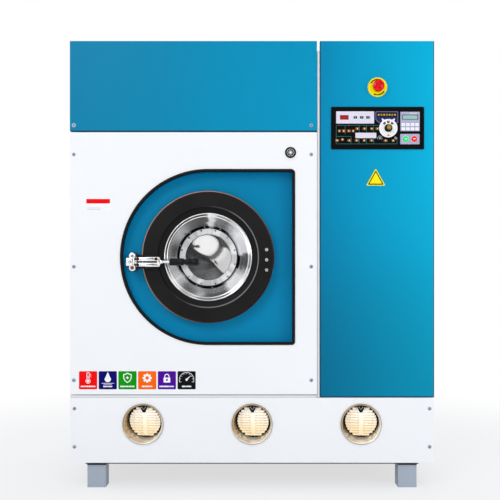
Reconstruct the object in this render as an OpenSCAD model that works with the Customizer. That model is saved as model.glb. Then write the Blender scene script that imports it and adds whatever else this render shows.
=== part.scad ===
// Dry cleaning machine with a dished loading door, a solvent base with three sight windows
// and an electrical cabinet. Millimetres, +Z up, the front faces -Y.
// The origin is the middle of the footprint on the floor.

/* [Cabinet] */
// Width over the side panels
overall_w = 1275; // [1255:5:1330]
// Height from the floor to the top of the fascia
overall_h = 1568; // [1560:2:1600]
// Depth from the front panels to the rear panel
body_d = 1050; // [1045:5:1150]
// Right edge of the left-hand panels, from the middle
division_x = 227.5; // [224:0.5:231]
// Slot between the left-hand panels and the electrical door
section_gap = 10.5; // [6:0.5:14]
// Sheet thickness of panels and doors
sheet = 2; // [1.5:0.25:2.5]
// Depth of the folded edges of the panels
fold = 22; // [18:1:24]
// Drop of the roof panel below the fascia
roof_drop = 31; // [20:1:40]
// Height of the top edge of the base panel
base_panel_top = 319.5; // [316:0.5:322]
// Height of the bottom edge of the electrical door
right_door_bottom = 322; // [321:0.5:326]
// Height of the seam between base panel and front panel
seam_h = 11.25; // [6:0.25:16]
// Height of the seam between front panel and fascia
fascia_seam_z = 1250.75; // [1240:1:1260]
// Width of the seam between front panel and fascia
fascia_seam_h = 4.5; // [2:0.5:8]

/* [Frame] */
// Width of the square frame tubes
post = 50; // [40:2:52]
// Width of the front post between the two sections
mid_post = 60; // [56:1:62]
// Distance from the side panel's outer face to the frame
side_air = 12.5; // [11:0.5:14]
// Height of the legs
leg_h = 84; // [60:2:100]
// Width of the square legs
leg = 65; // [50:1:75]
// Distance of the leg centres from the middle
leg_x = 548; // [500:1:550]
// Set-back of the legs and the tray from the front face
leg_set_back = 24; // [22:1:40]
// Thickness of the spill tray floor
tray_t = 7.7; // [4:0.1:9]
// Width of the spill tray
tray_w = 1174; // [1160:2:1220]
// Thickness of the machine deck and of the upper shelf
deck_t = 6; // [4:1:8]
// Height of the top of the upper side rails
shelf_z = 1164; // [1160:1:1175]
// Half the depth of the upper shelf
shelf_half = 160; // [155:1:180]
// Depth position of the front cross rail under the tub
cross_y1 = 200; // [190:5:215]
// Depth position of the rear cross rail under the tub
cross_y2 = 420; // [410:5:430]
// Front edge of the machine deck
deck_y = 645; // [642:1:650]

/* [Solvent base] */
// Number of sight windows
windows = 3; // [1:1:3]
// Distance between sight windows
window_pitch = 381.5; // [340:0.5:385]
// Height of the sight window centres
window_z = 227.5; // [222:0.5:228]
// Outer radius of the sight window ring
window_r = 71; // [64:1:72]
// Bore radius of the sight window sleeve
window_bore = 62.5; // [58:0.5:63]
// Upward tilt of the sight sleeve
window_tilt = 11; // [0:1:12]
// Sideways turn of the sight sleeve
window_turn = 7; // [0:1:8]
// Depth of the louvre disc behind the front face
louvre_y = 40; // [32:1:44]
// Radius of the louvre disc
louvre_r = 56; // [50:1:57]
// Pitch of the louvre slats
slat_pitch = 10; // [9:0.5:14]
// Depth of the tanks
tank_d = 620; // [560:5:625]
// Height of the tanks
tank_h = 194; // [180:1:198]

/* [Recess] */
// Radius of the round left side of the recess, over its trim
recess_r = 308; // [300:1:312]
// Distance from the door centre to the right edge of the recess
recess_side = 305; // [298:1:308]
// Depth of the recess floor behind the front face
recess_depth = 42; // [40:0.5:46]
// Width of the rubber trim round the recess
trim_w = 10; // [9:0.5:13]
// Corner radius at the top right of the recess
recess_corner_top = 15; // [12:1:30]
// Corner radius at the bottom right of the recess
recess_corner_low = 12; // [11:1:30]

/* [Loading door] */
// Distance of the door centre from the middle
door_x = -154; // [-156:1:-152]
// Height of the door centre
door_z = 812; // [810:1:816]
// Outer radius of the door ring
ring_r = 231; // [228:1:232]
// Front of the door ring before the front face
ring_proud = 4; // [0:0.5:6]
// Thickness of the door ring
ring_t = 31; // [29:0.5:31]
// Radius of the groove in the door ring
ring_groove_r = 175; // [170:1:180]
// Outer radius of the steel dish
dish_r = 154; // [150:1:156]
// Thickness of the dish wall
dish_t = 3; // [2:0.5:4]
// Radius of the bottom of the dish
dish_floor_r = 104; // [103:1:108]
// Depth of the dish floor behind the front face
dish_floor_y = 40; // [38:0.5:41]
// Outer radius of the glass clamp ring
clamp_r = 101; // [100:0.5:102]
// Clear radius of the glass
glass_clear_r = 80.5; // [76:0.5:84]
// Radius of the door glass
glass_r = 92; // [90:0.5:92.5]
// Thickness of the door glass
glass_t = 8; // [5:0.5:10]
// Thickness of the clamp ring
clamp_t = 6; // [4:0.5:8]
// Number of clamp bolts
clamp_bolts = 12; // [6:1:16]
// Radius of the bolt circle
clamp_bolt_circle = 96.5; // [96:0.1:97]
// Largest opening angle of the loading door
door_open = 95; // [60:5:95]
// Distance of the hinge axis from the door centre
hinge_dx = 226; // [225:0.5:227]
// Drop of the hinge below the door centre
hinge_drop = 10; // [0:1:16]
// Half length of the hinge
hinge_half = 55; // [50:1:60]
// Radius of the hinge knuckles
knuckle_r = 7; // [6:0.25:7]
// Radius of the hinge pin
hinge_pin_r = 3.5; // [3:0.25:4]
// Spacing of the three hinge bolts
hinge_bolt_pitch = 35.5; // [30:0.5:38]
// Width of the door seal
seal_w = 14; // [10:1:14]
// Inner radius of the door seal
seal_r = 176; // [174:1:177]

/* [Latch] */
// Drop of the latch below the door centre
latch_drop = 17.5; // [10:0.5:22]
// Distance of the latch pivot from the door centre
latch_dx = 242; // [240:0.5:242]
// Distance of the latch axis before the front face
latch_out = 24; // [22:0.5:28]
// Height of each lever bar
bar_h = 16; // [12:0.5:18]
// Gap between the lever bars
bar_gap = 4; // [2:0.5:5]
// Thickness of the lever bars
bar_t = 10; // [8:0.5:10]
// Length of the lever bars
bar_l = 83; // [70:1:88]
// Radius of the lever pivot pin
pivot_r = 4; // [3:0.5:4]
// Radius of the chrome rod
rod_r = 4; // [3:0.5:5]
// Length of the grip
grip_l = 102; // [90:1:106]
// Radius of the grip
grip_r = 12.75; // [11:0.25:13]
// Distance from the pivot to the grip
grip_dx = 109; // [104:1:112]
// Largest angle of the latch lever
latch_open = 75; // [60:5:75]
// Width of the strike
strike_w = 29; // [28:0.5:30]
// Height of the strike
strike_h = 27; // [26:0.5:30]
// Thickness of the strike's jaws
strike_jaw = 6; // [5:0.5:6]
// Thickness of the strike's web
strike_web = 14; // [10:0.5:14]
// Radius of the strike pin
strike_pin_r = 4; // [3:0.5:4]

/* [Drum] */
// Outer radius of the tub
tub_r = 335; // [330:1:337]
// Wall of the tub
tub_t = 4; // [3:0.5:5]
// Length of the tub
tub_l = 460; // [455:1:462]
// Front of the tub behind the front face
tub_y = 60; // [58:0.5:61]
// Inner radius of the loading collar
throat_r = 172; // [168:1:173]
// Outer radius of the drum
drum_r = 312; // [300:1:318]
// Wall of the drum
drum_t = 2.5; // [2:0.25:4]
// Clearance between drum and tub ends
drum_end_air = 18; // [10:1:20]
// Number of lifters
lifters = 3; // [2:1:4]
// Height of the lifters
lifter_h = 62; // [50:1:70]
// Radius of the drum perforations
hole_r = 6; // [4:0.5:8]
// Holes round the drum between two lifters
holes_round = 6; // [3:1:7]
// Rows of holes along the drum
hole_rows = 6; // [3:1:8]
// Radius of the drum shaft
shaft_r = 25; // [20:1:28]
// Radius of the large pulley
pulley_r = 200; // [150:5:205]
// Width of both pulleys
pulley_w = 38; // [34:1:40]
// Front face of both pulleys behind the front face
pulley_y = 650; // [648:1:654]
// Radius of the motor pulley
motor_pulley_r = 45; // [36:1:52]
// Sideways distance from drum axis to motor axis
motor_dx = 236; // [230:1:245]
// Body radius of the drum motor
motor_r = 84; // [74:1:90]
// Body length of the drum motor
motor_l = 240; // [200:5:260]

/* [Air circuit] */
// Height of the fan axis above the shelf
fan_up = 135; // [130:1:150]
// Radius of the fan wheel
fan_r = 105; // [90:1:110]
// Width of the fan wheel
fan_w = 80; // [60:2:90]
// Number of fan blades
fan_blades = 18; // [8:1:24]
// Depth position of the fan axis
fan_y = 400; // [395:1:410]

// Radius of the fan motor
fan_motor_r = 75; // [65:1:80]
// Length of the fan motor
fan_motor_l = 190; // [170:5:195]

/* [Machinery] */
// Radius of the still
still_r = 145; // [140:1:150]
// Height of the still
still_h = 660; // [640:5:680]
// Radius of the cartridge filter
filter_r = 105; // [100:1:108]
// Height of the cartridge filter
cartridge_h = 600; // [560:5:620]
// Radius of the water separator
separator_r = 55; // [50:1:60]
// Height of the water separator
separator_h = 330; // [300:5:350]
// Radius of the compressor
compressor_r = 100; // [90:1:105]
// Height of the compressor
compressor_h = 260; // [240:5:280]
// Radius of the pump motor
pump_r = 60; // [50:1:64]
// Radius of the pipes
pipe_r = 13; // [10:0.5:14]
// Projection of the contactors from the mounting plate
gear_d = 72; // [66:1:80]

/* [Electrical cabinet] */
// Depth of the electrical enclosure
enclosure_d = 216; // [200:2:220]
// Largest opening angle of the electrical door
right_door_open = 100; // [60:5:100]
// Distance of the hinge axis from the outer edge
right_hinge_in = 6; // [5.5:0.25:6]
// Radius of the hinge barrels
barrel_r = 5; // [4:0.25:5]
// Length of one hinge barrel
barrel_l = 60; // [40:2:80]
// Width of the control panel
panel_w = 325; // [320:1:340]
// Height of the control panel
panel_h = 148; // [146:1:160]
// Middle of the control panel from the middle of the machine
panel_x = 439; // [436:1:441]
// Height of the control panel's middle
panel_z = 1262.8; // [1250:0.5:1280]
// Thickness of the control panel plate
panel_t = 4; // [3:0.5:5]
// Radius of the emergency stop head
estop_r = 20; // [16:0.5:22]
// Radius of the emergency stop plate
estop_plate_r = 34; // [30:1:36]
// Height of the emergency stop
estop_z = 1406; // [1380:1:1440]
// Travel of the emergency stop
estop_travel = 5; // [3:0.5:6]
// Radius of the start and stop buttons
button_r = 9.8; // [8:0.1:10]
// Travel of the start and stop buttons
button_travel = 3; // [2:0.5:4]
// Travel of the controller keys
key_travel = 1; // [0.5:0.1:1.2]
// Radius of the lock core
lock_r = 19.5; // [16:0.5:20]

/* [Fits] */
// Gap round moving pieces
air = 0.3; // [0.25:0.05:0.5]
// Radial clearance of a running pin or shaft
run = 0.04; // [0.02:0.01:0.08]
// Root gap of the welds in the frame
weld = 0.2; // [0.1:0.05:0.25]
// Radial clearance of a screw in its hole
screw_air = 0.3; // [0.2:0.05:0.5]

/* [Hidden] */
$fn = 64;
half_w = overall_w / 2;
estop_out = 38;
front_out = max(latch_out + grip_r, estop_out);
back_out = 30;
y_front = front_out - (front_out + body_d + back_out) / 2;
floor_z = leg_h + tray_t;
roof_z = overall_h - roof_drop;
frame_x = half_w - side_air;
frame_top = roof_z - sheet;
seam_top = base_panel_top + seam_h;
ring_z = base_panel_top - 8;
deck_z = ring_z + post + deck_t;
shelf_top = shelf_z + deck_t;
post_x = division_x + section_gap / 2 - mid_post / 2;
right_x = division_x + section_gap;
recess_i = trim_w - 4;
pan_i = recess_i + sheet;
ring_back = ring_t - ring_proud;
collar_front = recess_depth - 4;
hinge_x = door_x + hinge_dx;
hinge_y = ring_back + 1;
hinge_z = door_z - hinge_drop;
latch_x = door_x - latch_dx;
latch_z = door_z - latch_drop;
bars_half = bar_gap / 2 + bar_h;
arm_y0 = 3;
arm_y1 = 10;
arm_l = 23;
strike_x = latch_x - 12;
strike_pin_x = strike_x - 5;
strike_front = -latch_out + arm_y0 - air - 2 * strike_pin_r - 2;
drum_y0 = tub_y + drum_end_air;
drum_y1 = tub_y + tub_l - drum_end_air;
dish_rise = 34;
dish_ball = (pow(drum_r, 2) + pow(dish_rise, 2)) / (2 * dish_rise);
motor_x = door_x + motor_dx;
motor_z = deck_z + 30 + motor_r;
shelf_fan_z = shelf_top + fan_up;
right_hinge_x = half_w - right_hinge_in;
right_hinge_y = fold + right_hinge_in;
blue = "deepskyblue";
screw_in = 14;
screw_cols = [-half_w + screw_in, division_x - 20];
panel_screw_z = [seam_top + 50, door_z - 34, fascia_seam_z - 80];
fascia_screw_z = fascia_seam_z + 22.5;
base_screw_z = [floor_z + 56, base_panel_top - 38];
return_x = -frame_x + post + 75;
coil_l = 120;
filter_x = -frame_x + post + 15;
filter_l = 150;
coil_x = filter_x + filter_l;
fan_x = coil_x + 2 * coil_l + 100;
supply_x = fan_x + 10;
duct_w = 90;
duct_d = 110;
window_xs = [for (i = [0 : windows - 1]) (i - (windows - 1) / 2) * window_pitch];
tank_y = fold + post + 2;
tank_x = frame_x - post - 2;
vent_l = 150;
vent_xs = [-400, 0, 400];
vent_zs = [for (i = [0 : 5]) 480 + i * 36];
lock_x = division_x - 93;
lock_z = fascia_seam_z - 74;
lock_l = 24;
hinge_bolt_x = hinge_x - 21;
hinge_bolt_zs = [for (i = [-1, 0, 1]) hinge_z + i * hinge_bolt_pitch];
clamp_angles = [for (i = [0 : clamp_bolts - 1]) (i + 0.5) * 360 / clamp_bolts];
glass_y0 = dish_floor_y - glass_t;
clamp_y0 = glass_y0 - clamp_t;
trap_top = door_z - tub_r - 30;
scroll_l = fan_w + 40;
box_d = 2 * (fan_r + 25);
box_h = 260;
fan_shaft_r = 12;
motor_shaft_r = 12;
filter_cx = (post_x + mid_post + frame_x - post) / 2 + 10;
filter_cy = 440;
still_x = 400;
still_y = 830;
rake_r = 70;
separator_x = -85;
separator_y = 895;
port_h = 15;
vapour = [-85, -60];
stub_r = 10.5;
stub_l = 28;
pump_x = -360;
pump_y = 860;
pump_z = floor_z + 90;
compressor_x = -430;
compressor_y = 850;
nozzle_x = pump_x + 130;
riser_x = nozzle_x + 30;
water_xs = [still_x - 40, still_x + 40];
water_z = deck_z + still_h + 60;
pipe_top = deck_z + still_h + 90;
enc_x0 = post_x + mid_post;
enc_x1 = frame_x - post;
enc_z0 = ring_z + post;
enc_z1 = frame_top - post - air;
gear_y = fold + enclosure_d - sheet;
barrel_zs = [right_door_bottom + 130, (right_door_bottom + overall_h) / 2, overall_h - 160];
panel_x0 = panel_x - panel_w / 2;
panel_z1 = panel_z + panel_h / 2;
face_y = -panel_t;
control_x = panel_x0 + 83.5;
control_z = panel_z1 - 38;
key_xs = [for (i = [-1, 0, 1]) panel_x0 + 106 + i * 22];
dial_x = panel_x0 + 199.5;
dial_z = panel_z1 - 75;
keypad_x = panel_x0 + 275;
button_z = panel_z1 - 113;
button_xs = [keypad_x - 15, keypad_x + 15];

// ---- shared shapes ----

// Everything is drawn with y = 0 in the plane of the front panels
module placed() {
    translate([0, y_front, 0]) children();
}

// Box between two corners
module block(x0, x1, y0, y1, z0, z1) {
    translate([x0, y0, z0]) cube([x1 - x0, y1 - y0, z1 - z0]);
}

// Upright flat shape, seen from the front, between two depths
module slab(y0, y1) {
    translate([0, y1, 0]) rotate([90, 0, 0]) linear_extrude(y1 - y0) children();
}

// Round bar along the depth
module bar(x, z, y0, y1, r) {
    translate([x, y0, z]) rotate([-90, 0, 0]) cylinder(h = y1 - y0, r = r);
}

// Profile of radius and depth, turned round an axis along the depth
module turned(x, z) {
    translate([x, 0, z]) rotate([-90, 0, 0]) rotate_extrude() children();
}

// Rectangle with round corners from two corners
module round_rect(x0, x1, z0, z1, r) {
    translate([x0 + r, z0]) square([x1 - x0 - 2 * r, z1 - z0]);
    translate([x0, z0 + r]) square([x1 - x0, z1 - z0 - 2 * r]);
    for (x = [x0 + r, x1 - r], z = [z0 + r, z1 - r]) translate([x, z]) circle(r);
}

// Sheet panel seen from the front, with all its edges folded back
module pan(x0, x1, z0, z1, depth = fold) {
    difference() {
        block(x0, x1, 0, depth, z0, z1);
        block(x0 + sheet, x1 - sheet, sheet, depth + 1, z0 + sheet, z1 - sheet);
    }
}

// Outline of the recess, drawn in by i
module recess_outline(i) {
    r = recess_r - i;
    s = recess_side - i;
    rt = recess_corner_top - i;
    rl = recess_corner_low - i;
    ct = max(rt, 1);
    cl = max(rl, 1);
    translate([door_x, door_z]) {
        circle(r, $fn = 128);
        translate([0, cl - r]) square([s, 2 * r - cl - ct]);
        translate([0, -r]) square([s - cl, 2 * r - ct]);
        translate([0, 0]) square([s - ct, r]);
        translate([s - ct, r - ct]) circle(ct);
        translate([s - cl, cl - r]) circle(cl);
    }
}

// Pan-head screw in the front face: head before it, shank behind it
module panel_screw(x, z) {
    translate([x, 0, z]) rotate([90, 0, 0]) {
        intersection() {
            translate([0, 0, -4]) sphere(r = 6.8);
            cylinder(h = 5, r = 5);
        }
        translate([0, 0, -12]) cylinder(h = 12.5, r = 3);
    }
}

module screw_hole(x, z) {
    bar(x, z, -1, sheet + 1, 3 + screw_air);
}

// ---- welded frame ----

// Tube along the width, welded in between what stands at x0 and at x1
module cross_rail(x0, x1, y, z) {
    block(x0 + weld, x1 - weld, y, y + post, z, z + post);
}

// Legs, and square tubes welded end to face: each one stops at the root gap of its weld
module base_frame() {
    inner = frame_x - post;
    rear = body_d - fold - post;
    color("slategray") placed()
        for (x = [-leg_x, leg_x], y = [leg_set_back, body_d - leg_set_back - leg])
            block(x - leg / 2, x + leg / 2, y, y + leg, 0, leg_h);
    color("lightgray") placed() {
        for (x = [-frame_x, inner], y = [fold, rear])
            block(x, x + post, y, y + post, floor_z, frame_top);
        block(post_x, post_x + mid_post, fold, fold + post, floor_z + post + weld,
            frame_top - post - weld);
        for (z = [floor_z, ring_z, frame_top - post]) cross_rail(-inner, inner, rear, z);
        for (z = [floor_z, frame_top - post]) cross_rail(-inner, inner, fold, z);
        cross_rail(-inner, post_x, fold, ring_z);
        cross_rail(post_x + mid_post, inner, fold, ring_z);
        cross_rail(-inner, post_x, fold, fascia_seam_z - post / 2);
        for (y = [cross_y1, cross_y2]) cross_rail(-inner, inner, y - post / 2, ring_z);
        for (x = [-frame_x, inner], z = [floor_z, ring_z, shelf_z - post, frame_top - post])
            block(x, x + post, fold + post + weld, rear - weld, z, z + post);
        machine_deck();
        upper_shelf();
    }
}

// Plates on the rails, behind the tub and behind the electrical enclosure
module machine_deck() {
    seat = deck_z - deck_t + weld;
    difference() {
        block(-frame_x, frame_x, deck_y, body_d - fold - post - weld, seat, deck_z);
        bar_up(riser_x, pump_y, seat - 1, deck_z + 1, pipe_r + 4);
    }
    block(post_x + mid_post + 5, frame_x, fold + enclosure_d + 15, deck_y - weld, seat, deck_z);
}

// Boards above the tub that carry the air circuit, with the ducts between them
module upper_shelf() {
    seat = shelf_z + weld;
    slot = duct_d / 2 + air;
    xs = [-frame_x, return_x - air, return_x + duct_w + air, supply_x - air,
        supply_x + duct_w + air, frame_x];
    for (y = [[fan_y - shelf_half, fan_y - slot], [fan_y + slot, fan_y + shelf_half]])
        block(-frame_x, frame_x, y[0], y[1], seat, shelf_top);
    for (i = [0, 2, 4])
        block(xs[i], xs[i + 1], fan_y - slot + weld, fan_y + slot - weld, seat, shelf_top);
}

// Round bar that stands upright
module bar_up(x, y, z0, z1, r) {
    translate([x, y, z0]) cylinder(h = z1 - z0, r = r);
}

// Tray under the whole machine, with four drain holes
module spill_tray() {
    drain_r = 25;
    color("dimgray") placed() difference() {
        block(-tray_w / 2, tray_w / 2, leg_set_back - 4, body_d - leg_set_back + 4, leg_h, floor_z);
        for (x = [-1, 1], y = [0.28, 0.72])
            bar_up(x * tray_w * 0.3, body_d * y, leg_h - 1, floor_z + 1, drain_r);
    }
}

// ---- solvent base ----

module solvent_tanks() {
    lid = 5;
    cover = 110;
    color("silver") placed() difference() {
        union() {
            block(-tank_x, tank_x, tank_y, tank_y + tank_d, floor_z, floor_z + tank_h);
            // lid flange, stiffeners between the compartments and cleaning covers
            for (x = [-0.32, 0.32])
                block(x * tank_x - 6, x * tank_x + 6, tank_y, tank_y + tank_d,
                    floor_z + tank_h, floor_z + tank_h + lid);
            for (x = window_xs)
                bar_up(x, tank_y + tank_d / 2, floor_z + tank_h, floor_z + tank_h + lid, cover);
        }
        for (x = window_xs, a = [0 : 30 : 330])
            translate([x, tank_y + tank_d / 2, 0]) rotate([0, 0, a])
                bar_up(cover - 12, 0, floor_z + tank_h + 2, floor_z + tank_h + lid + 1, 5);
    }
}

module base_panel() {
    color("whitesmoke") placed() difference() {
        pan(-half_w, half_w, floor_z, base_panel_top);
        for (x = window_xs) bar(x, window_z, -1, sheet + 1, window_bore + 5);
        for (x = [-half_w + screw_in + 2, half_w - screw_in - 2], z = base_screw_z)
            screw_hole(x, z);
    }
}

// Frame of a sight window: its sleeve runs in, upward and to the side
module sight_frame(x) {
    translate([x, 0, window_z]) rotate([window_tilt, 0, -window_turn]) children();
}

// Ring, tilted sleeve and the flange that meets the tank
module sight_rings() {
    color("goldenrod") placed() for (x = window_xs) difference() {
        union() {
            turned(x, window_z) translate([0, -4]) difference() {
                union() {
                    square([window_r, 4]);
                    translate([0, -2]) square([window_r - 2, 3]);
                }
                translate([-1, -3]) square([window_bore - 0.5 + 1, 9]);
            }
            intersection() {
                sight_frame(x) bar(0, 0, -30, tank_y + 40, window_bore + 2.5);
                block(x - 100, x + 100, -2, tank_y, window_z - 100, window_z + 100);
            }
        }
        sight_frame(x) bar(0, 0, -40, tank_y + 50, window_bore);
    }
}

// Slatted disc in each sleeve, and the clip that holds it
module sight_louvres() {
    n = floor(louvre_r / slat_pitch);
    color("khaki") placed() for (x = window_xs) sight_frame(x) {
        bar(0, 0, louvre_y - 4, louvre_y, window_bore - 0.2);
        bar(0, 0, louvre_y - 7, louvre_y - 4, louvre_r);
        for (i = [-n : n]) slat(i * slat_pitch, sqrt(pow(louvre_r, 2) - pow(abs(i) * slat_pitch, 2)));
        for (s = [-1, 1]) block(s * 5 - 1.5, s * 5 + 1.5, louvre_y - 16, louvre_y - 5,
            -louvre_r + 3, louvre_r - 3);
    }
    color("black") placed() for (x = window_xs) sight_frame(x)
        slab(louvre_y - 20, louvre_y - 16) translate([0, window_bore - 1]) polygon([[-13, -1.4],
            [13, -1.4], [3, -27], [-3, -27]]);
}

// One slanted slat with stepped ends
module slat(z, half) {
    l = max(half - 4, 8);
    translate([0, louvre_y - 6, z]) rotate([35, 0, 0])
        block(-l, l, -8, 0, -0.8, 0.8);
}

// ---- front panels ----

module front_panel() {
    color("whitesmoke") placed() difference() {
        pan(-half_w, division_x, seam_top, fascia_seam_z - fascia_seam_h / 2);
        slab(-1, sheet + 1) recess_outline(recess_i);
        bar(lock_x, lock_z, -1, sheet + 1, lock_r + 3 + screw_air);
        for (x = screw_cols, z = panel_screw_z) screw_hole(x, z);
    }
}

module top_fascia() {
    color(blue) placed() difference() {
        pan(-half_w, division_x, fascia_seam_z + fascia_seam_h / 2, overall_h);
        for (x = screw_cols) screw_hole(x, fascia_screw_z);
    }
}

module recess_pan() {
    color(blue) placed() difference() {
        union() {
            slab(sheet, recess_depth + sheet) recess_outline(recess_i);
            slab(sheet, 2 * sheet) recess_outline(recess_i - 18);
        }
        slab(0, recess_depth) recess_outline(pan_i);
        bar(door_x, door_z, 0, recess_depth + 10, throat_r + 4 + air);
    }
}

module recess_trim() {
    color("black") placed() difference() {
        union() {
            slab(-3, 0) recess_outline(0);
            slab(-4, -2) recess_outline(1.5);
            slab(-1, 14) recess_outline(pan_i);
        }
        slab(-5, 15) recess_outline(trim_w);
    }
}

module side_panel(s, y0) {
    difference() {
        block(s > 0 ? frame_x : -half_w, s > 0 ? half_w : -frame_x, y0, body_d - fold - 1,
            floor_z, frame_top);
        block(s > 0 ? frame_x - 1 : -half_w + sheet, s > 0 ? half_w - sheet : 1 - frame_x,
            y0 + sheet, body_d - fold - 1 - sheet, floor_z + sheet, frame_top - sheet);
    }
}

module side_panels() {
    color("whitesmoke") placed() {
        side_panel(-1, fold + 2);
        side_panel(1, right_hinge_y + 10);
    }
}

// Row of pressed louvres over the motors and the compressor
module vent_slot(x, z) {
    l = vent_l;
    r = 9;
    translate([x - l / 2, body_d - 0.1, z]) rotate([0, 90, 0]) difference() {
        cylinder(h = l, r = r);
        translate([0, 0, sheet]) cylinder(h = l - 2 * sheet, r = r - 1.5);
        translate([-r - 1, -2 * r, -1]) cube([2 * r + 2, 2 * r, l + 2]);
        translate([0, -1, -1]) cube([r + 1, r + 2, l + 2]);
    }
}

module rear_panel() {
    color("whitesmoke") placed() {
        difference() {
            block(-half_w, half_w, body_d - fold, body_d, floor_z, frame_top);
            block(-half_w + sheet, half_w - sheet, body_d - fold - 1, body_d - sheet,
                floor_z + sheet, frame_top - sheet);
            for (x = vent_xs, z = vent_zs)
                block(x - vent_l / 2 + sheet, x + vent_l / 2 - sheet, body_d - 5, body_d + 1,
                    z - 6, z);
            for (x = water_xs) bar(x, water_z, body_d - 5, body_d + 1, stub_r + 2);
        }
        for (x = vent_xs, z = vent_zs) vent_slot(x, z);
    }
}

module roof_panel() {
    y0 = right_hinge_y + 10;
    color("whitesmoke") placed() {
        block(-half_w, half_w, y0, body_d, roof_z - sheet, roof_z);
        for (y = [0.35, 0.6, 0.85]) slab_top(y * body_d);
    }
}

// Raised stiffening bead across the roof
module slab_top(y) {
    translate([-half_w + 60, y, roof_z - 8]) rotate([0, 90, 0]) intersection() {
        cylinder(h = overall_w - 120, r = 13);
        translate([-20, -20, 0]) cube([12 + sheet / 2, 40, overall_w - 120]);
    }
}

module panel_screws() {
    color("silver") placed() {
        for (x = screw_cols, z = panel_screw_z) panel_screw(x, z);
        for (x = screw_cols) panel_screw(x, fascia_screw_z);
        for (x = [-half_w + screw_in + 2, half_w - screw_in - 2], z = base_screw_z)
            panel_screw(x, z);
    }
}

// ---- quarter-turn lock ----

module lock_body() {
    color("silver") placed() turned(lock_x, lock_z) difference() {
        union() {
            translate([0, -5]) square([lock_r + 4.5, 5]);
            translate([0, -6]) square([lock_r + 2.5, 3]);
            square([lock_r + 3, lock_l]);
        }
        translate([-1, -7]) square([lock_r + air + 1, lock_l + 10]);
    }
}

module lock_core() {
    color("black") placed() difference() {
        union() {
            turned(lock_x, lock_z) {
                translate([0, -8]) square([lock_r - 2, lock_l + 8 + air]);
                translate([0, -6.5]) square([lock_r, lock_l + 6.5 + air]);
            }
            block(lock_x - 7, lock_x + 7, lock_l + air, lock_l + air + 3, lock_z - 45, lock_z + 12);
        }
        turned(lock_x, lock_z) translate([lock_r - 8, -9]) square([1.5, 2.5]);
        bar(lock_x, lock_z, -9, -3, 4.5);
    }
}

// ---- loading door ----

// Ring with a groove, a sloped inner zone and a relief for the hinge
module door_ring() {
    y0 = -ring_proud;
    seat = dish_r - 6;
    color("dimgray") placed() difference() {
        turned(door_x, door_z) {
            polygon([[seat, 0], [dish_r + 4, 0], [ring_groove_r - 2, y0],
                [ring_groove_r - 1, y0 + 1.5], [ring_groove_r + 1, y0 + 1.5],
                [ring_groove_r + 2, y0], [ring_r - 6, y0], [ring_r - 6, ring_back],
                [seat, ring_back]]);
            translate([ring_r - 7, y0 + 6]) square([7, ring_t - 8]);
            translate([ring_r - 6, y0 + 6]) circle(6);
            translate([ring_r - 8, y0 + 6]) square([6, ring_t - 6]);
        }
        block(hinge_x - knuckle_r - 3, hinge_x + 20, hinge_y - knuckle_r - 1.5, ring_back + 1,
            hinge_z - hinge_half - 2, hinge_z + hinge_half + 2);
        for (z = hinge_bolt_zs) bar(hinge_bolt_x, z, y0 - 1, ring_back + 1, 3 + screw_air);
    }
}

// Funnel of polished steel between the ring and the glass
module door_dish() {
    rim = dish_r - 6;
    run_y = dish_floor_y;
    color("silver") placed() difference() {
        turned(door_x, door_z) polygon([
            [dish_r, -2], [dish_r, 0], [rim - air, 0], [rim - air, 1],
            [dish_floor_r + dish_t, run_y - 1],
            [dish_floor_r + dish_t, run_y + dish_t], [glass_clear_r - 1, run_y + dish_t],
            [glass_clear_r - 1, run_y], [dish_floor_r, run_y],
            [dish_floor_r, run_y - 4], [rim - 9, -2]]);
        for (a = clamp_angles) door_polar(a, clamp_bolt_circle)
            bar(0, 0, run_y - 1, run_y + dish_t + 1, 2 + screw_air);
    }
}

// Place at an angle and a distance from the door centre
module door_polar(a, r) {
    translate([door_x + r * cos(a), 0, door_z + r * sin(a)]) children();
}

module glass_clamp() {
    color("gray") placed() difference() {
        turned(door_x, door_z) polygon([[glass_clear_r, clamp_y0 + 2], [glass_clear_r + 2, clamp_y0],
            [clamp_r - 1, clamp_y0], [clamp_r, clamp_y0 + 1], [clamp_r, glass_y0],
            [glass_clear_r, glass_y0]]);
        for (a = clamp_angles) door_polar(a, clamp_bolt_circle)
            bar(0, 0, clamp_y0 - 1, glass_y0 + 1, 2 + screw_air);
    }
}

module door_glass() {
    color("lightcyan") placed() bar(door_x, door_z, glass_y0, dish_floor_y, glass_r);
}

module door_bolts() {
    color("silver") placed() {
        for (a = clamp_angles) door_polar(a, clamp_bolt_circle) {
            bar(0, 0, clamp_y0 - 4, clamp_y0, 3.6);
            bar(0, 0, clamp_y0 - 1, dish_floor_y + dish_t, 2);
        }
        for (z = hinge_bolt_zs) {
            bar(hinge_bolt_x, z, -ring_proud - 4, -ring_proud, 5.5);
            bar(hinge_bolt_x, z, -ring_proud - 1, ring_back + 3, 3);
        }
    }
}

// Rubber ring on the back of the door, with a lip toward the collar
module door_seal() {
    l = collar_front - air;
    color("black") placed() turned(door_x, door_z) difference() {
        union() {
            translate([seal_r, ring_back]) square([seal_w, l - ring_back - 3]);
            translate([seal_r + 2, ring_back]) square([seal_w - 4, l - ring_back]);
        }
        translate([seal_r + seal_w / 2 - 1, l - 3]) square([2, 4]);
    }
}

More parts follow.
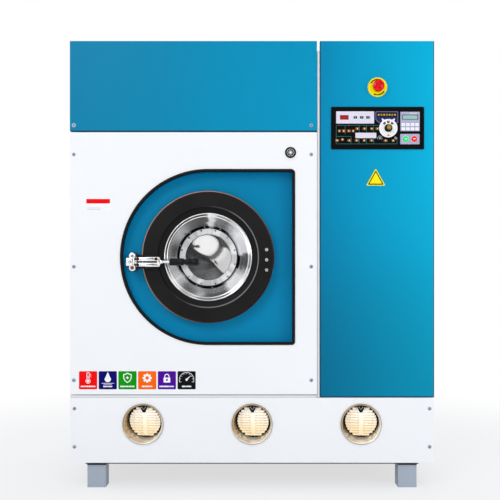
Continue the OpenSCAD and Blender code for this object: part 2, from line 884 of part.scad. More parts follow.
// Door half of the hinge: leaf behind the ring and the middle knuckle
module hinge_leaf() {
    mid = hinge_half - 30.5;
    color("gray") placed() difference() {
        union() {
            block(hinge_bolt_x - 11, hinge_x - knuckle_r - 1, ring_back, ring_back + 3,
                hinge_z - hinge_half, hinge_z + hinge_half);
            block(hinge_x - knuckle_r - 2, hinge_x, ring_back, ring_back + 3,
                hinge_z - mid, hinge_z + mid);
            bar_up(hinge_x, hinge_y, hinge_z - mid, hinge_z + mid, knuckle_r);
        }
        bar_up(hinge_x, hinge_y, hinge_z - mid - 1, hinge_z + mid + 1, hinge_pin_r + run);
        for (z = hinge_bolt_zs) bar(hinge_bolt_x, z, ring_back - 1, ring_back + 5, 3 + screw_air);
    }
}

// Cabinet half of the hinge on the recess floor, with its pin
module hinge_bracket() {
    arm = 29.5;
    color("gray") placed() {
        block(hinge_x - 6, hinge_x + 53, recess_depth - 3, recess_depth,
            hinge_z - hinge_half, hinge_z + hinge_half);
        for (z = [hinge_z - hinge_half, hinge_z + hinge_half - arm]) {
            bar_up(hinge_x, hinge_y, z, z + arm, knuckle_r);
            block(hinge_x - 4, hinge_x + 4, hinge_y, recess_depth - 2, z, z + arm);
        }
        bar_up(hinge_x, hinge_y, hinge_z - hinge_half, hinge_z + hinge_half, hinge_pin_r);
        for (z = hinge_bolt_zs) bar(hinge_x + 38, z, recess_depth - 6, recess_depth - 2, 5);
    }
}

// ---- latch ----

// Flat link between a pivot eye and a pad, seen from above
module latch_ear() {
    circle(8);
    polygon([[-6, 5.3], [-5, -6.2], [24, -6.2], [54, 14], [54, 20], [24, 20]]);
}

module latch_bracket() {
    ear = 5;
    z0 = bars_half + 0.5;
    color("gray") placed() translate([latch_x, -latch_out, latch_z]) {
        difference() {
            union() {
                for (z = [-z0 - ear, z0]) translate([0, 0, z]) linear_extrude(ear) latch_ear();
                block(24, 54, 14, latch_out - ring_proud, -z0 - ear, z0 + ear);
            }
            bar_up(0, 0, -40, 40, pivot_r + run);
        }
        bar_up(0, 0, -z0 - ear - 1, z0 + ear + 1, pivot_r);
        for (z = [-z0 - ear - 3, z0 + ear]) bar_up(0, 0, z, z + 3, pivot_r + 2);
    }
}

// Two bars, hook arm, hub and chrome rod
module latch_lever() {
    color("silver") placed() translate([latch_x, -latch_out, latch_z]) difference() {
        union() {
            for (z = [-bars_half, bar_gap / 2])
                block(-5, bar_l - 5, -bar_t / 2, bar_t / 2, z, z + bar_h);
            bar_up(0, 0, -bars_half, bars_half, 8);
            block(-arm_l, 0, arm_y0, arm_y1, -6, 6);
            block(bar_l - 17, bar_l - 3, -bar_t / 2 - 1, bar_t / 2 + 1, -9, 9);
            translate([bar_l - 10, 0, 0]) rotate([0, 90, 0])
                cylinder(h = grip_dx + grip_l - 5 - bar_l + 10, r = rod_r);
        }
        bar_up(0, 0, -30, 30, pivot_r + run);
    }
}

module lever_grip() {
    color("black") placed() translate([latch_x + grip_dx, -latch_out, latch_z]) rotate([0, 90, 0])
        rotate_extrude() difference() {
            union() {
                translate([0, 2]) square([grip_r, grip_l - 4]);
                square([grip_r - 2, grip_l]);
            }
            translate([-1, -1]) square([rod_r + run + 1, grip_l - 4]);
            for (i = [0 : 2]) translate([grip_r - 1.5, grip_l * 0.4 + i * grip_l * 0.2])
                square([2, grip_l * 0.08]);
        }
}

// Channel on the recess floor with an upright pin that the hook catches
module door_strike() {
    x0 = strike_x - strike_w;
    half = strike_h / 2;
    color("silver") placed() translate([0, 0, latch_z]) {
        difference() {
            union() {
                block(x0, strike_x, strike_front, recess_depth, -half, half);
                block(x0, strike_x, recess_depth - 5, recess_depth, -half - 20, half + 20);
            }
            block(x0 + strike_web, strike_x + 1, strike_front - 1, recess_depth - 5,
                strike_jaw - half, half - strike_jaw);
        }
        bar_up(strike_pin_x, strike_front + 2 + strike_pin_r, 1 - half, half - 1, strike_pin_r);
        for (z = [-22.5, 22.5]) bar(strike_x - strike_w / 3, z, recess_depth - 11,
            recess_depth - 5, 5);
    }
}

// ---- tub and drum ----

// Front plate with the loading collar and its flange, and the shell welded behind it
module tub() {
    color("silver") placed() {
        turned(door_x, door_z) {
            translate([throat_r, collar_front]) square([4, tub_y - collar_front + 1]);
            translate([throat_r, collar_front]) square([24, recess_depth - collar_front]);
            translate([throat_r, tub_y]) square([tub_r - throat_r, tub_t]);
        }
        tub_shell();
    }
}

// Wall with two stiffening ribs, rear plate, saddles and the chute to the button trap
module tub_shell() {
    y0 = tub_y + tub_t + weld;
    y1 = tub_y + tub_l;
    turned(door_x, door_z) {
        translate([tub_r - tub_t, y0]) square([tub_t, y1 - y0]);
        translate([shaft_r + 20, y1 - tub_t]) square([tub_r - shaft_r - 20, tub_t]);
        for (y = [0.2, 0.94]) translate([tub_r - 1, tub_y + tub_l * y - 5]) square([7, 10]);
    }
    for (y = [cross_y1, cross_y2]) tub_saddle(y);
    difference() {
        block(door_x - 70, door_x + 70, cross_y1 + 30, cross_y2 - 30, trap_top,
            door_z - tub_r + 20);
        block(door_x - 66, door_x + 66, cross_y1 + 34, cross_y2 - 34, trap_top - 1,
            door_z - tub_r + 21);
        bar(door_x, door_z, cross_y1, cross_y2, tub_r - 1);
    }
}

// Upright plate that carries the tub on a cross rail
module tub_saddle(y) {
    z0 = ring_z + post;
    difference() {
        slab(y - 4, y + 4) translate([door_x, 0]) polygon([[-260, z0], [260, z0],
            [250, door_z - 190], [-250, door_z - 190]]);
        bar(door_x, door_z, y - 5, y + 5, tub_r - 1);
        bar(door_x, z0 + 20, y - 5, y + 5, 15);
    }
}

// Open trap under the tub that catches buttons and pins
module button_trap() {
    z0 = ring_z + post;
    color("silver") placed() difference() {
        block(door_x - 100, door_x + 100, cross_y1 + 5, cross_y2 - 5, z0, trap_top);
        block(door_x - 60, door_x + 60, cross_y1 + 40, cross_y2 - 40, z0 + 12, trap_top + 1);
    }
}

module bearing_unit() {
    y0 = tub_y + tub_l;
    outer = shaft_r + 15;
    flange = 130;
    nose = 64;
    l = 105;
    color("slategray") placed() {
        turned(door_x, door_z) difference() {
            polygon([[0, y0], [flange, y0], [flange, y0 + 12], [nose + 12, y0 + 14],
                [nose, y0 + l], [0, y0 + l]]);
            translate([-1, y0 - 1]) square([outer + 1, l + 5]);
        }
        for (a = [0 : 60 : 300]) translate([door_x, 0, door_z]) rotate([0, a, 0])
            rotate([90, 0, 90]) linear_extrude(10, center = true)
                polygon([[y0 + 10, nose - 4], [y0 + 10, flange - 6], [y0 + l - 7, nose + 2],
                    [y0 + l - 7, nose - 4]]);
    }
    color("silver") placed() for (y = [y0 + 4, y0 + 81]) turned(door_x, door_z)
        translate([shaft_r + run, y]) square([15 - run - 0.02, 20]);
}

module drum_shell() {
    sweep = 360 / lifters;
    color("silver") placed() difference() {
        turned(door_x, door_z) {
            translate([drum_r - drum_t, drum_y0]) square([drum_t, drum_y1 - drum_y0]);
            translate([throat_r + 10, drum_y0]) square([drum_r - throat_r - 10, drum_t]);
            translate([throat_r + 10, drum_y0]) square([drum_t, 24]);
            // back, dished toward the door
            intersection() {
                translate([0, drum_y1 - dish_rise + dish_ball]) difference() {
                    circle(dish_ball, $fn = 360);
                    circle(dish_ball - drum_t, $fn = 360);
                }
                translate([0, drum_y1 - dish_rise - 1]) square([drum_r, dish_rise + 1]);
            }
        }
        for (l = [0 : lifters - 1], i = [0 : holes_round - 1], j = [0 : hole_rows - 1])
            translate([door_x, 0, door_z])
                rotate([0, 30 + l * sweep + sweep * (i + 1.5) / (holes_round + 2), 0])
                    translate([drum_r - 12, drum_y0 + 50 + j * 320 / (hole_rows - 1), 0])
                        rotate([0, 90, 0]) cylinder(h = 24, r = hole_r, $fn = 24);
    }
}

// Lifters that carry the load up
module drum_ribs() {
    inner = drum_r - drum_t;
    color("silver") placed() intersection() {
        for (l = [0 : lifters - 1]) translate([door_x, 0, door_z]) rotate([0, 30 + l * 360 / lifters, 0])
            slab(drum_y0 + 26, drum_y1 - 40) {
                translate([inner - lifter_h + 12, 0]) circle(12);
                polygon([[inner - lifter_h + 9, 11.6], [inner - lifter_h + 9, -11.6],
                    [inner + 1, -42], [inner + 1, 42]]);
            }
        bar(door_x, door_z, drum_y0, drum_y1, inner);
    }
}

// V-groove pulley profile, radius against depth
module pulley_rim(r, y, inner) {
    difference() {
        translate([inner, y]) square([r - inner, pulley_w]);
        for (g = [0.28, 0.72]) translate([r + 0.01, y + pulley_w * g])
            polygon([[0, -7], [0, 7], [-11, 4], [-11, -4]]);
    }
}

// Hub and six arms that lie against the dished back of the drum
module drum_spider() {
    arm_r = drum_r - drum_t - 20;
    intersection() {
        turned(door_x, door_z) intersection() {
            translate([0, drum_y1 - dish_rise + dish_ball]) circle(dish_ball - drum_t, $fn = 360);
            translate([0, drum_y1 - dish_rise]) square([arm_r, dish_rise + 10]);
        }
        union() {
            bar(door_x, door_z, drum_y1 - dish_rise, drum_y1 + 10, shaft_r + 45);
            for (a = [0 : 60 : 300]) translate([door_x, drum_y1 - dish_rise, door_z])
                rotate([0, a, 0]) block(0, arm_r + 1, 0, dish_rise + 10, -8, 8);
        }
    }
}

module drum_shaft() {
    boss_y = drum_y1;
    color("gray") placed() difference() {
        union() {
            turned(door_x, door_z) {
                translate([0, boss_y]) square([shaft_r, pulley_y + pulley_w - boss_y + 6]);
                pulley_rim(pulley_r, pulley_y, pulley_r - 24);
                translate([shaft_r - 1, pulley_y]) square([25, pulley_w]);
                translate([shaft_r, pulley_y + pulley_w / 2 - 5]) square([pulley_r - shaft_r - 20, 10]);
            }
            drum_spider();
        }
        for (a = [0 : 72 : 288]) translate([door_x, 0, door_z]) rotate([0, a, 0])
            bar(0.55 * pulley_r + 10, 0, pulley_y - 1, pulley_y + pulley_w + 1, 0.17 * pulley_r);
    }
}

module drum_motor() {
    y0 = pulley_y + pulley_w + 14;
    color("steelblue") placed() difference() {
        union() {
            turned(motor_x, motor_z) {
                translate([0, y0]) square([motor_r - 12, motor_l]);
                translate([0, y0 + 14]) square([motor_r - 6, motor_l - 60]);
                for (i = [0 : 8]) translate([0, y0 + 18 + i * (motor_l - 80) / 8])
                    square([motor_r, 5]);
                translate([0, y0 + motor_l - 40]) square([motor_r - 4, 40]);
            }
            for (y = [y0 + 30, y0 + motor_l - 90])
                block(motor_x - motor_r, motor_x + motor_r, y, y + 40, deck_z, deck_z + 18);
            block(motor_x - motor_r + 20, motor_x + motor_r - 20, y0 + 20, y0 + motor_l - 40,
                deck_z + 10, motor_z);
        }
        bar(motor_x, motor_z, y0 - 1, y0 + 20, motor_shaft_r + run);
    }
}

module motor_pulley() {
    y0 = pulley_y + pulley_w + 14;
    color("gray") placed() turned(motor_x, motor_z) {
        pulley_rim(motor_pulley_r, pulley_y, 0);
        translate([0, pulley_y]) square([motor_shaft_r, y0 + 18 - pulley_y]);
    }
}

// Endless belt round both pulleys
module drive_belt() {
    dx = motor_x - door_x;
    dz = motor_z - door_z;
    span = norm([dx, dz]);
    tilt = atan2(dz, dx);
    in1 = pulley_r - 10;
    in2 = motor_pulley_r - 10;
    color("black") placed() for (g = [0.28, 0.72])
        slab(pulley_y + pulley_w * g - 3.5, pulley_y + pulley_w * g + 3.5)
            translate([door_x, door_z]) rotate(tilt) difference() {
                belt_outline(in1 + 9, in2 + 9, span);
                belt_outline(in1, in2, span);
            }
}

// Two circles and the flanks that touch both
module belt_outline(r1, r2, span) {
    a = asin((r1 - r2) / span);
    circle(r1, $fn = 128);
    translate([span, 0]) circle(r2);
    polygon([[r1 * sin(a), r1 * cos(a)], [span + r2 * sin(a), r2 * cos(a)],
        [span + r2 * sin(a), -r2 * cos(a)], [r1 * sin(a), -r1 * cos(a)]]);
}

// ---- air circuit on the upper shelf ----

module train_box(x0, x1, grow = 0) {
    block(x0, x1, fan_y - box_d / 2 - grow, fan_y + box_d / 2 + grow, shelf_top,
        shelf_top + box_h + grow);
}

// Filter box with its lid, flanges and the return duct from the tub
module lint_filter() {
    color("silver") placed() {
        train_box(filter_x, coil_x);
        train_box(coil_x - 6, coil_x, 14);
        block(filter_x + 15, coil_x - 20, fan_y - box_d / 2 - 8, fan_y - box_d / 2,
            shelf_top + 25, shelf_top + box_h - 20);
        duct(return_x);
    }
}

// Rectangular duct between the shelf and the round tub
module duct(x) {
    difference() {
        block(x, x + duct_w, fan_y - duct_d / 2, fan_y + duct_d / 2, door_z, shelf_top);
        block(x + 3, x + duct_w - 3, fan_y - duct_d / 2 + 3, fan_y + duct_d / 2 - 3, door_z,
            shelf_top - 3);
        bar(door_x, door_z, fan_y - duct_d, fan_y + duct_d, tub_r);
    }
}

// Finned cooling coil and heating coil with their return bends
module air_coils() {
    color("peru") placed() for (i = [0, 1]) {
        x = coil_x + i * coil_l;
        difference() {
            union() {
                train_box(x, x + coil_l);
                train_box(x, x + 6, 14);
                train_box(x + coil_l - 6, x + coil_l, 14);
            }
            for (j = [0 : 11]) block(x + 14 + j * (coil_l - 30) / 12, x + 18 + j * (coil_l - 30) / 12,
                fan_y - box_d, fan_y + box_d, shelf_top + box_h - 8, shelf_top + box_h + 20);
        }
        for (k = [0 : 4]) translate([x + coil_l / 2, fan_y - box_d / 2, shelf_top + 35 + k * 48])
            rotate([0, 90, 0]) intersection() {
                rotate_extrude() translate([15, 0]) circle(7);
                translate([-30, -30, -10]) cube([60, 30, 20]);
            }
    }
}

// Plenum, scroll and supply duct
module fan_housing() {
    x1 = fan_x + scroll_l;
    color("silver") placed() difference() {
        union() {
            train_box(coil_x + 2 * coil_l, fan_x);
            train_box(coil_x + 2 * coil_l, coil_x + 2 * coil_l + 6, 14);
            translate([fan_x, fan_y, shelf_fan_z]) rotate([0, 90, 0]) cylinder(h = scroll_l,
                r = fan_r + 25);
            block(fan_x, x1, fan_y - fan_r - 25, fan_y + 10, shelf_top, shelf_fan_z);
            duct(supply_x);
        }
        translate([fan_x + 6, fan_y, shelf_fan_z]) rotate([0, 90, 0])
            cylinder(h = scroll_l - 12, r = fan_r + 8);
        translate([fan_x + 10, fan_y, shelf_fan_z]) rotate([0, 90, 0])
            cylinder(h = scroll_l, r = 24);
    }
}

module fan_wheel() {
    x0 = fan_x + 20;
    color("silver") placed() translate([x0, fan_y, shelf_fan_z]) rotate([0, 90, 0]) {
        difference() {
            union() {
                cylinder(h = 4, r = fan_r);
                translate([0, 0, fan_w - 4]) cylinder(h = 4, r = fan_r);
                for (a = [0 : 360 / fan_blades : 359]) rotate([0, 0, a])
                    translate([fan_r - 28, 0, 1]) rotate([0, 0, 32]) cube([26, 2.5, fan_w - 2]);
            }
            translate([0, 0, -1]) cylinder(h = fan_w - 4, r = fan_r - 38);
        }
        translate([0, 0, fan_w - 30]) cylinder(h = 30, r = 22);
        cylinder(h = fan_w + 50, r = fan_shaft_r);
    }
}

module fan_motor() {
    x0 = fan_x + scroll_l;
    r = fan_motor_r;
    color("steelblue") placed() difference() {
        union() {
            translate([x0, fan_y, shelf_fan_z]) rotate([0, 90, 0]) {
                cylinder(h = 14, r = r + 10);
                cylinder(h = fan_motor_l, r = r - 8);
                for (i = [0 : 7]) translate([0, 0, 26 + i * 15]) cylinder(h = 5, r = r);
                translate([0, 0, fan_motor_l - 40]) cylinder(h = 40, r = r - 2);
            }
            block(x0 + 40, x0 + 130, fan_y - 60, fan_y + 60, shelf_top, shelf_fan_z);
        }
        translate([x0 - 1, fan_y, shelf_fan_z]) rotate([0, 90, 0])
            cylinder(h = 60, r = fan_shaft_r + run);
    }
}

// ---- solvent circuit on the machine deck ----

// Standing vessel: foot ring, shell, band and domed lid
module vessel(x, y, r, h, ports = []) {
    dome = r * 0.35;
    ball = (r * r + dome * dome) / (2 * dome);
    translate([x, y, deck_z]) {
        rotate_extrude() {
            square([r - 8, 30]);
            translate([0, 25]) square([r, h - 25 - dome]);
            translate([0, h - dome - 14]) square([r + 12, 28]);
            intersection() {
                translate([0, h - ball]) circle(ball, $fn = 180);
                translate([0, h - dome - 5]) square([r, dome + 5]);
            }
        }
        for (a = [0 : 45 : 315]) rotate([0, 0, a])
            translate([r + 6, 0, h - dome - 20]) cylinder(h = 40, r = 5);
        for (p = ports) translate([p[0], p[1], h - dome]) cylinder(h = dome + port_h, r = 20);
    }
}

module cartridge_filter() {
    color("silver") placed() vessel(filter_cx, filter_cy, filter_r, cartridge_h, [[0, 0]]);
}

module still() {
    color("silver") placed() {
        vessel(still_x, still_y, still_r, still_h, [[-40, 0], [40, 0], vapour]);
        // raking door at the front of the still
        bar(still_x, deck_z + 160, still_y - still_r - 20, still_y - still_r + 45, rake_r);
        bar(still_x, deck_z + 160, still_y - still_r - 32, still_y - still_r - 20, rake_r + 12);
        // water separator beside it
        vessel(separator_x, separator_y, separator_r, separator_h, [[0, 0]]);
    }
}

module compressor() {
    foot = 0.6 * compressor_r;
    color("dimgray") placed() {
        vessel(compressor_x, compressor_y, compressor_r, compressor_h);
        for (x = [-1, 1], y = [-1, 1])
            bar_up(compressor_x + x * foot, compressor_y + y * foot, deck_z, deck_z + 24, 14);
    }
}

module solvent_pump() {
    color("steelblue") placed() {
        translate([pump_x - 150, pump_y, pump_z]) rotate([0, 90, 0]) {
            cylinder(h = 190, r = pump_r);
            for (i = [0 : 8]) translate([0, 0, 30 + i * 14]) cylinder(h = 5, r = pump_r + 6);
        }
        translate([pump_x + 40, pump_y, pump_z]) rotate([0, 90, 0]) {
            cylinder(h = 60, r = pump_r + 12);
            cylinder(h = nozzle_x - pump_x - 40, r = 40);
        }
        block(pump_x - 120, pump_x + 90, pump_y - pump_r, pump_y + pump_r, floor_z, floor_z + 14);
        for (x = [-90, 50]) block(pump_x + x, pump_x + x + 30, pump_y - 45, pump_y + 45, floor_z,
            pump_z);
    }
}

// Straight pipe between two points with round ends
module pipe_run(a, b, r) {
    d = b - a;
    l = norm(d);
    translate(a) rotate([0, acos(d[2] / l), atan2(d[1], d[0])]) cylinder(h = l, r = r);
}

// Pipe through points, with ball elbows
module pipe(points, r) {
    for (i = [0 : len(points) - 2]) pipe_run(points[i], points[i + 1], r);
    for (i = [1 : 1 : len(points) - 2]) translate(points[i]) sphere(r * 1.25);
}

module pipework() {
    top = deck_z + port_h;
    color("peru") placed() {
        pipe([[nozzle_x, pump_y, pump_z], [riser_x, pump_y, pump_z],
            [riser_x, pump_y, pipe_top], [filter_cx, pump_y, pipe_top],
            [filter_cx, filter_cy, pipe_top], [filter_cx, filter_cy, top + cartridge_h]], pipe_r);
        for (x = water_xs) {
            pipe([[x, body_d + back_out - stub_l, water_z], [x, still_y, water_z],
                [x, still_y, top + still_h]],
                stub_r - 2);
            bar(x, water_z, body_d + back_out - stub_l, body_d + back_out, stub_r);
        }
        pipe([[separator_x, separator_y, top + separator_h],
            [separator_x, separator_y, pipe_top - 45],
            [separator_x, still_y + vapour[1], pipe_top - 45],
            [still_x + vapour[0], still_y + vapour[1], pipe_top - 45],
            [still_x + vapour[0], still_y + vapour[1], top + still_h]], pipe_r - 5);
    }
}

// ---- electrical cabinet ----

module electrical_enclosure() {
    color("lightgray") placed() difference() {
        block(enc_x0, enc_x1, fold, fold + enclosure_d, enc_z0, enc_z1);
        block(enc_x0 + sheet, enc_x1 - sheet, fold - 1, fold + enclosure_d - sheet,
            enc_z0 + sheet, enc_z1 - sheet);
    }
}

// Mounting plate with contactors, breakers, inverter, wire ducts and terminals
module switchgear() {
    x0 = enc_x0 + 14;
    x1 = enc_x1 - 14;
    w = x1 - x0;
    plate_y = gear_y - 8;
    color("orange") placed() block(x0, x1, plate_y, gear_y, enc_z0 + 20, enc_z1 - 20);
    color("darkgray") placed() {
        for (z = [0, 190, 380]) gear_row(x0 + 34, x1 - 34, enc_z0 + 120 + z, plate_y);
        for (z = [40, 220, 410, 590]) block(x0 + 4, x1 - 4, plate_y - 50, plate_y,
            enc_z0 + z, enc_z0 + z + 30);
        // inverter with its cooling ribs
        difference() {
            block(x0 + w / 2 - 75, x0 + w / 2 + 75, plate_y - 85, plate_y, enc_z0 + 660,
                enc_z0 + 900);
            for (i = [0 : 9]) block(x0 + w / 2 - 66 + i * 14, x0 + w / 2 - 60 + i * 14,
                plate_y - 60, plate_y - 6, enc_z0 + 890, enc_z0 + 901);
        }
    }
}

// Row of contactors and breakers on a rail
module gear_row(x0, x1, z, y) {
    n = 5;
    pitch = (x1 - x0) / n;
    block(x0 - 8, x1 + 8, y - 8, y, z - 17, z + 17);
    for (i = [0 : n - 1]) {
        block(x0 + i * pitch + 1, x0 + (i + 1) * pitch - 1, y - gear_d + 10, y - 8, z - 42, z + 42);
        block(x0 + i * pitch + 6, x0 + (i + 1) * pitch - 6, y - gear_d, y - gear_d + 10, z - 24,
            z + 24);
    }
}

// Cabinet halves of the door hinges, with their pins
module cabinet_hinges() {
    color("silver") placed() for (z = barrel_zs) {
        for (z0 = [z - barrel_l / 2, z + barrel_l / 6 + 0.5]) {
            bar_up(right_hinge_x, right_hinge_y, z0, z0 + barrel_l / 3 - 0.5, barrel_r);
            block(frame_x, right_hinge_x, right_hinge_y - 2, right_hinge_y + 2, z0,
                z0 + barrel_l / 3 - 0.5);
        }
        bar_up(right_hinge_x, right_hinge_y, z - barrel_l / 2, z + barrel_l / 2, barrel_r / 2);
        block(frame_x, frame_x + 1.2, right_hinge_y - 4, right_hinge_y + 8, z - barrel_l / 2,
            z + barrel_l / 2);
    }
}

// Blue door with its hinge barrels and the holes for the controls
module electrical_door() {
    color(blue) placed() difference() {
        union() {
            difference() {
                block(right_x, half_w, 0, fold - air, right_door_bottom, overall_h);
                block(right_x + sheet, half_w - sheet, sheet, fold, right_door_bottom + sheet,
                    overall_h - sheet);
            }
            for (z = barrel_zs) {
                bar_up(right_hinge_x, right_hinge_y, z - barrel_l / 6, z + barrel_l / 6, barrel_r);
                block(half_w - sheet - 3, half_w - sheet + 0.5, 4, right_hinge_y,
                    z - barrel_l / 6, z + barrel_l / 6);
            }
        }
        for (z = barrel_zs) bar_up(right_hinge_x, right_hinge_y, z - barrel_l, z + barrel_l,
            barrel_r / 2 + run);
        for (x = button_xs) bar(x, button_z, -1, sheet + 1, button_r + air);
        bar(dial_x, dial_z, -1, sheet + 1, 5 + run);
        bar(panel_x, estop_z, -1, sheet + 1, 12);
    }
}

// ---- control panel ----

// Raised rectangular module on the panel face
module raised(x, z, size, t, r = 2) {
    w = size[0];
    h = size[1];
    slab(face_y - t, face_y) round_rect(x - w / 2, x + w / 2, z - h / 2, z + h / 2, r);
}

module control_panel() {
    display = [30, 16];
    lcd = [57, 18];
    name_plate = [79, 26];
    slack = [0.2, 0.2];
    color("black") placed() difference() {
        slab(face_y, 0) round_rect(panel_x0, panel_x0 + panel_w, panel_z1 - panel_h, panel_z1, 4);
        for (x = button_xs) bar(x, button_z, face_y - 1, 1, button_r + air);
        bar(dial_x, dial_z, face_y - 1, 1, 5 + run);
    }
    color("lavender") placed() {
        // temperature controller with its display and the three key wells
        difference() {
            raised(control_x, control_z, [132, 42], 6);
            raised(control_x - 38, control_z, display, 8, 1);
            for (x = key_xs) slab(face_y - 8, face_y - 1) key_outline(x, air);
        }
        // inverter keypad with its display and eight keys
        difference() {
            raised(keypad_x, control_z - 14, [67, 67], 6);
            raised(keypad_x, control_z + 1, lcd, 8, 1);
        }
        for (i = [-1.5 : 1 : 1.5], j = [0, 1]) translate([0, -5, 0])
            raised(keypad_x + i * 16, control_z - 25 - j * 15, [12.5, 10], 2.5);
    }
    color("gray") placed() {
        raised(control_x - 38, control_z, display - slack, 4.5, 1);
        raised(keypad_x, control_z + 1, lcd - slack, 4.5, 1);
        // button plate with two wells, dial face with its two ears and name plate
        difference() {
            raised(keypad_x, button_z, [67, 36], 3);
            for (x = button_xs) bar(x, button_z, face_y - 5, face_y + 1, button_r + air);
        }
        raised(dial_x + 4, panel_z1 - 29, name_plate, 3);
        difference() {
            union() {
                bar(dial_x, dial_z, face_y - 3, face_y, 32);
                for (s = [-1, 1]) bar(dial_x + s * 17, dial_z + 27, face_y - 3, face_y, 5);
            }
            raised(dial_x + 4, panel_z1 - 29, name_plate + 2 * slack, 4);
            bar(dial_x, dial_z, face_y - 4, face_y + 1, 5 + run);
        }
    }
}

// Knob with a grip bar, a round cap and its spindle
module program_dial() {
    color("black") placed() difference() {
        turned(dial_x, dial_z) {
            translate([0, face_y - 8]) square([13.6, 4.7]);
            translate([0, face_y - 18]) square([11.5, 12]);
            translate([0, face_y - 21]) square([7.7, 4]);
            translate([0, face_y - 5]) square([5, panel_t + sheet + 12]);
        }
        for (a = [0 : 30 : 330]) translate([dial_x, 0, dial_z]) rotate([0, a, 0])
            bar(12.6, 0, face_y - 19, face_y - 9, 1.8);
    }
}

// Round cap with a collar behind the door
module push_button(x) {
    out = 6;
    difference() {
        turned(x, button_z) {
            translate([0, face_y - 2 - out]) square([button_r, out + 3 + panel_t + sheet]);
            translate([0, face_y - 3 - out]) square([button_r - 1, 4]);
            translate([0, sheet + air]) square([button_r + 2.5, 2]);
        }
        block(x - 1, x + 1, face_y - 10, face_y - 3 - out + 0.6, button_z - 4, button_z + 4);
    }
}

module start_button() {
    color("springgreen") placed() push_button(button_xs[0]);
}

module stop_button() {
    color("red") placed() push_button(button_xs[1]);
}

// Small key in a well of the controller
module controller_key(x) {
    slab(face_y - 7.5, face_y - 1 - key_travel - 0.5) key_outline(x, 0);
}

// Outline of a controller key, grown by a gap
module key_outline(x, gap) {
    w = 5.8 + gap;
    h = 3.8 + gap;
    round_rect(x - w, x + w, control_z - h, control_z + h, 0.8 + gap * 2 / 3);
}

module set_key() {
    color("black") placed() controller_key(key_xs[0]);
}

module down_key() {
    color("black") placed() controller_key(key_xs[1]);
}

module up_key() {
    color("black") placed() controller_key(key_xs[2]);
}

module estop_collar() {
    color("yellow") placed() difference() {
        turned(panel_x, estop_z) {
            translate([0, -2]) square([estop_plate_r, 2]);
            translate([0, -12]) square([15, 12]);
        }
        bar(panel_x, estop_z, -13, 1, 10 + air);
    }
}

// Mushroom head on a stem, with its retaining collar behind the door
module estop_button() {
    head = estop_out - 12 - estop_travel - 1;
    color("red") placed() turned(panel_x, estop_z) {
        intersection() {
            translate([0, 10]) circle(estop_out + 10, $fn = 128);
            translate([0, -estop_out]) square([estop_r, head]);
        }
        translate([0, head - estop_out - 1]) square([10, estop_out - head + sheet + 1 + air]);
        translate([0, sheet + air]) square([14, 3]);
    }
}

base_frame();
spill_tray();
solvent_tanks();
base_panel();
sight_rings();
sight_louvres();
front_panel();
top_fascia();
recess_pan();
recess_trim();
side_panels();
rear_panel();
roof_panel();
panel_screws();
lock_body();
electrical_enclosure();
switchgear();
cabinet_hinges();
tub();
bearing_unit();
drum_motor();
drive_belt();
button_trap();
fan_housing();
fan_motor();
air_coils();
lint_filter();
cartridge_filter();
still();
compressor();
solvent_pump();
pipework();
door_strike();
hinge_bracket();
door_ring();
door_dish();
glass_clamp();
door_glass();
door_bolts();
door_seal();
hinge_leaf();
latch_bracket();
latch_lever();
lever_grip();
drum_shell();
drum_ribs();
drum_shaft();
motor_pulley();
fan_wheel();
lock_core();
electrical_door();
control_panel();
estop_collar();
estop_button();
program_dial();
start_button();
stop_button();
set_key();
down_key();
up_key();
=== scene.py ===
import math
import random

import bmesh
import bpy
from mathutils import Matrix, Vector


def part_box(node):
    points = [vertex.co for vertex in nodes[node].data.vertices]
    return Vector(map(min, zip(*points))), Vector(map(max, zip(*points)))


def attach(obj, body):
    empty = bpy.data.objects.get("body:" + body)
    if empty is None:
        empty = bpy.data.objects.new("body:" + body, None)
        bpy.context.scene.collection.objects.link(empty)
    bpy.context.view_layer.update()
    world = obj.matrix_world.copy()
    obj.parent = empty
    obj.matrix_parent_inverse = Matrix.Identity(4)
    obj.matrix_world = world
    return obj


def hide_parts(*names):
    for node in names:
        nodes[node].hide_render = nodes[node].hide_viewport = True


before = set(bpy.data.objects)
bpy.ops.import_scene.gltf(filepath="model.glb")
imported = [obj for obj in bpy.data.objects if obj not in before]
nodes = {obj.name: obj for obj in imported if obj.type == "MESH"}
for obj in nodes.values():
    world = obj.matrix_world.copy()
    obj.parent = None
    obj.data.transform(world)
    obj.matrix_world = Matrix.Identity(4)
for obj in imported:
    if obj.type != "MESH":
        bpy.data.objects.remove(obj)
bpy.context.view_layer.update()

# ---------------------------------------------------------------------------------------
# Camera and studio. The photograph is taken from 3 m, level, a little below the middle of
# the machine, so its verticals stay parallel. A pale floor runs up into a pale backdrop.
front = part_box("front_panel")[0].y
door_x = -0.154
door_z = 0.812
camera_distance = 3.0
camera_x = -0.007
camera_height = 0.749
photo_width = 1.75
floor_half = 12.0
weld = 1e-6

camera_data = bpy.data.cameras.new("camera")
camera_data.sensor_width = 36.0
camera_data.lens = camera_data.sensor_width * camera_distance / photo_width
camera_data.shift_y = 0.05
camera = bpy.data.objects.new("camera", camera_data)
camera.location = (camera_x, front - camera_distance, camera_height)
camera.rotation_euler = (math.radians(90), 0, 0)
bpy.context.scene.collection.objects.link(camera)
bpy.context.scene.camera = camera
bpy.context.scene.view_settings.view_transform = "Standard"


def linear(hex_colour):
    """An sRGB hex colour as the linear RGBA that a shader takes."""
    parts = [int(hex_colour[i:i + 2], 16) / 255 for i in (1, 3, 5)]
    return [c / 12.92 if c <= 0.04045 else ((c + 0.055) / 1.055) ** 2.4 for c in parts] + [1.0]


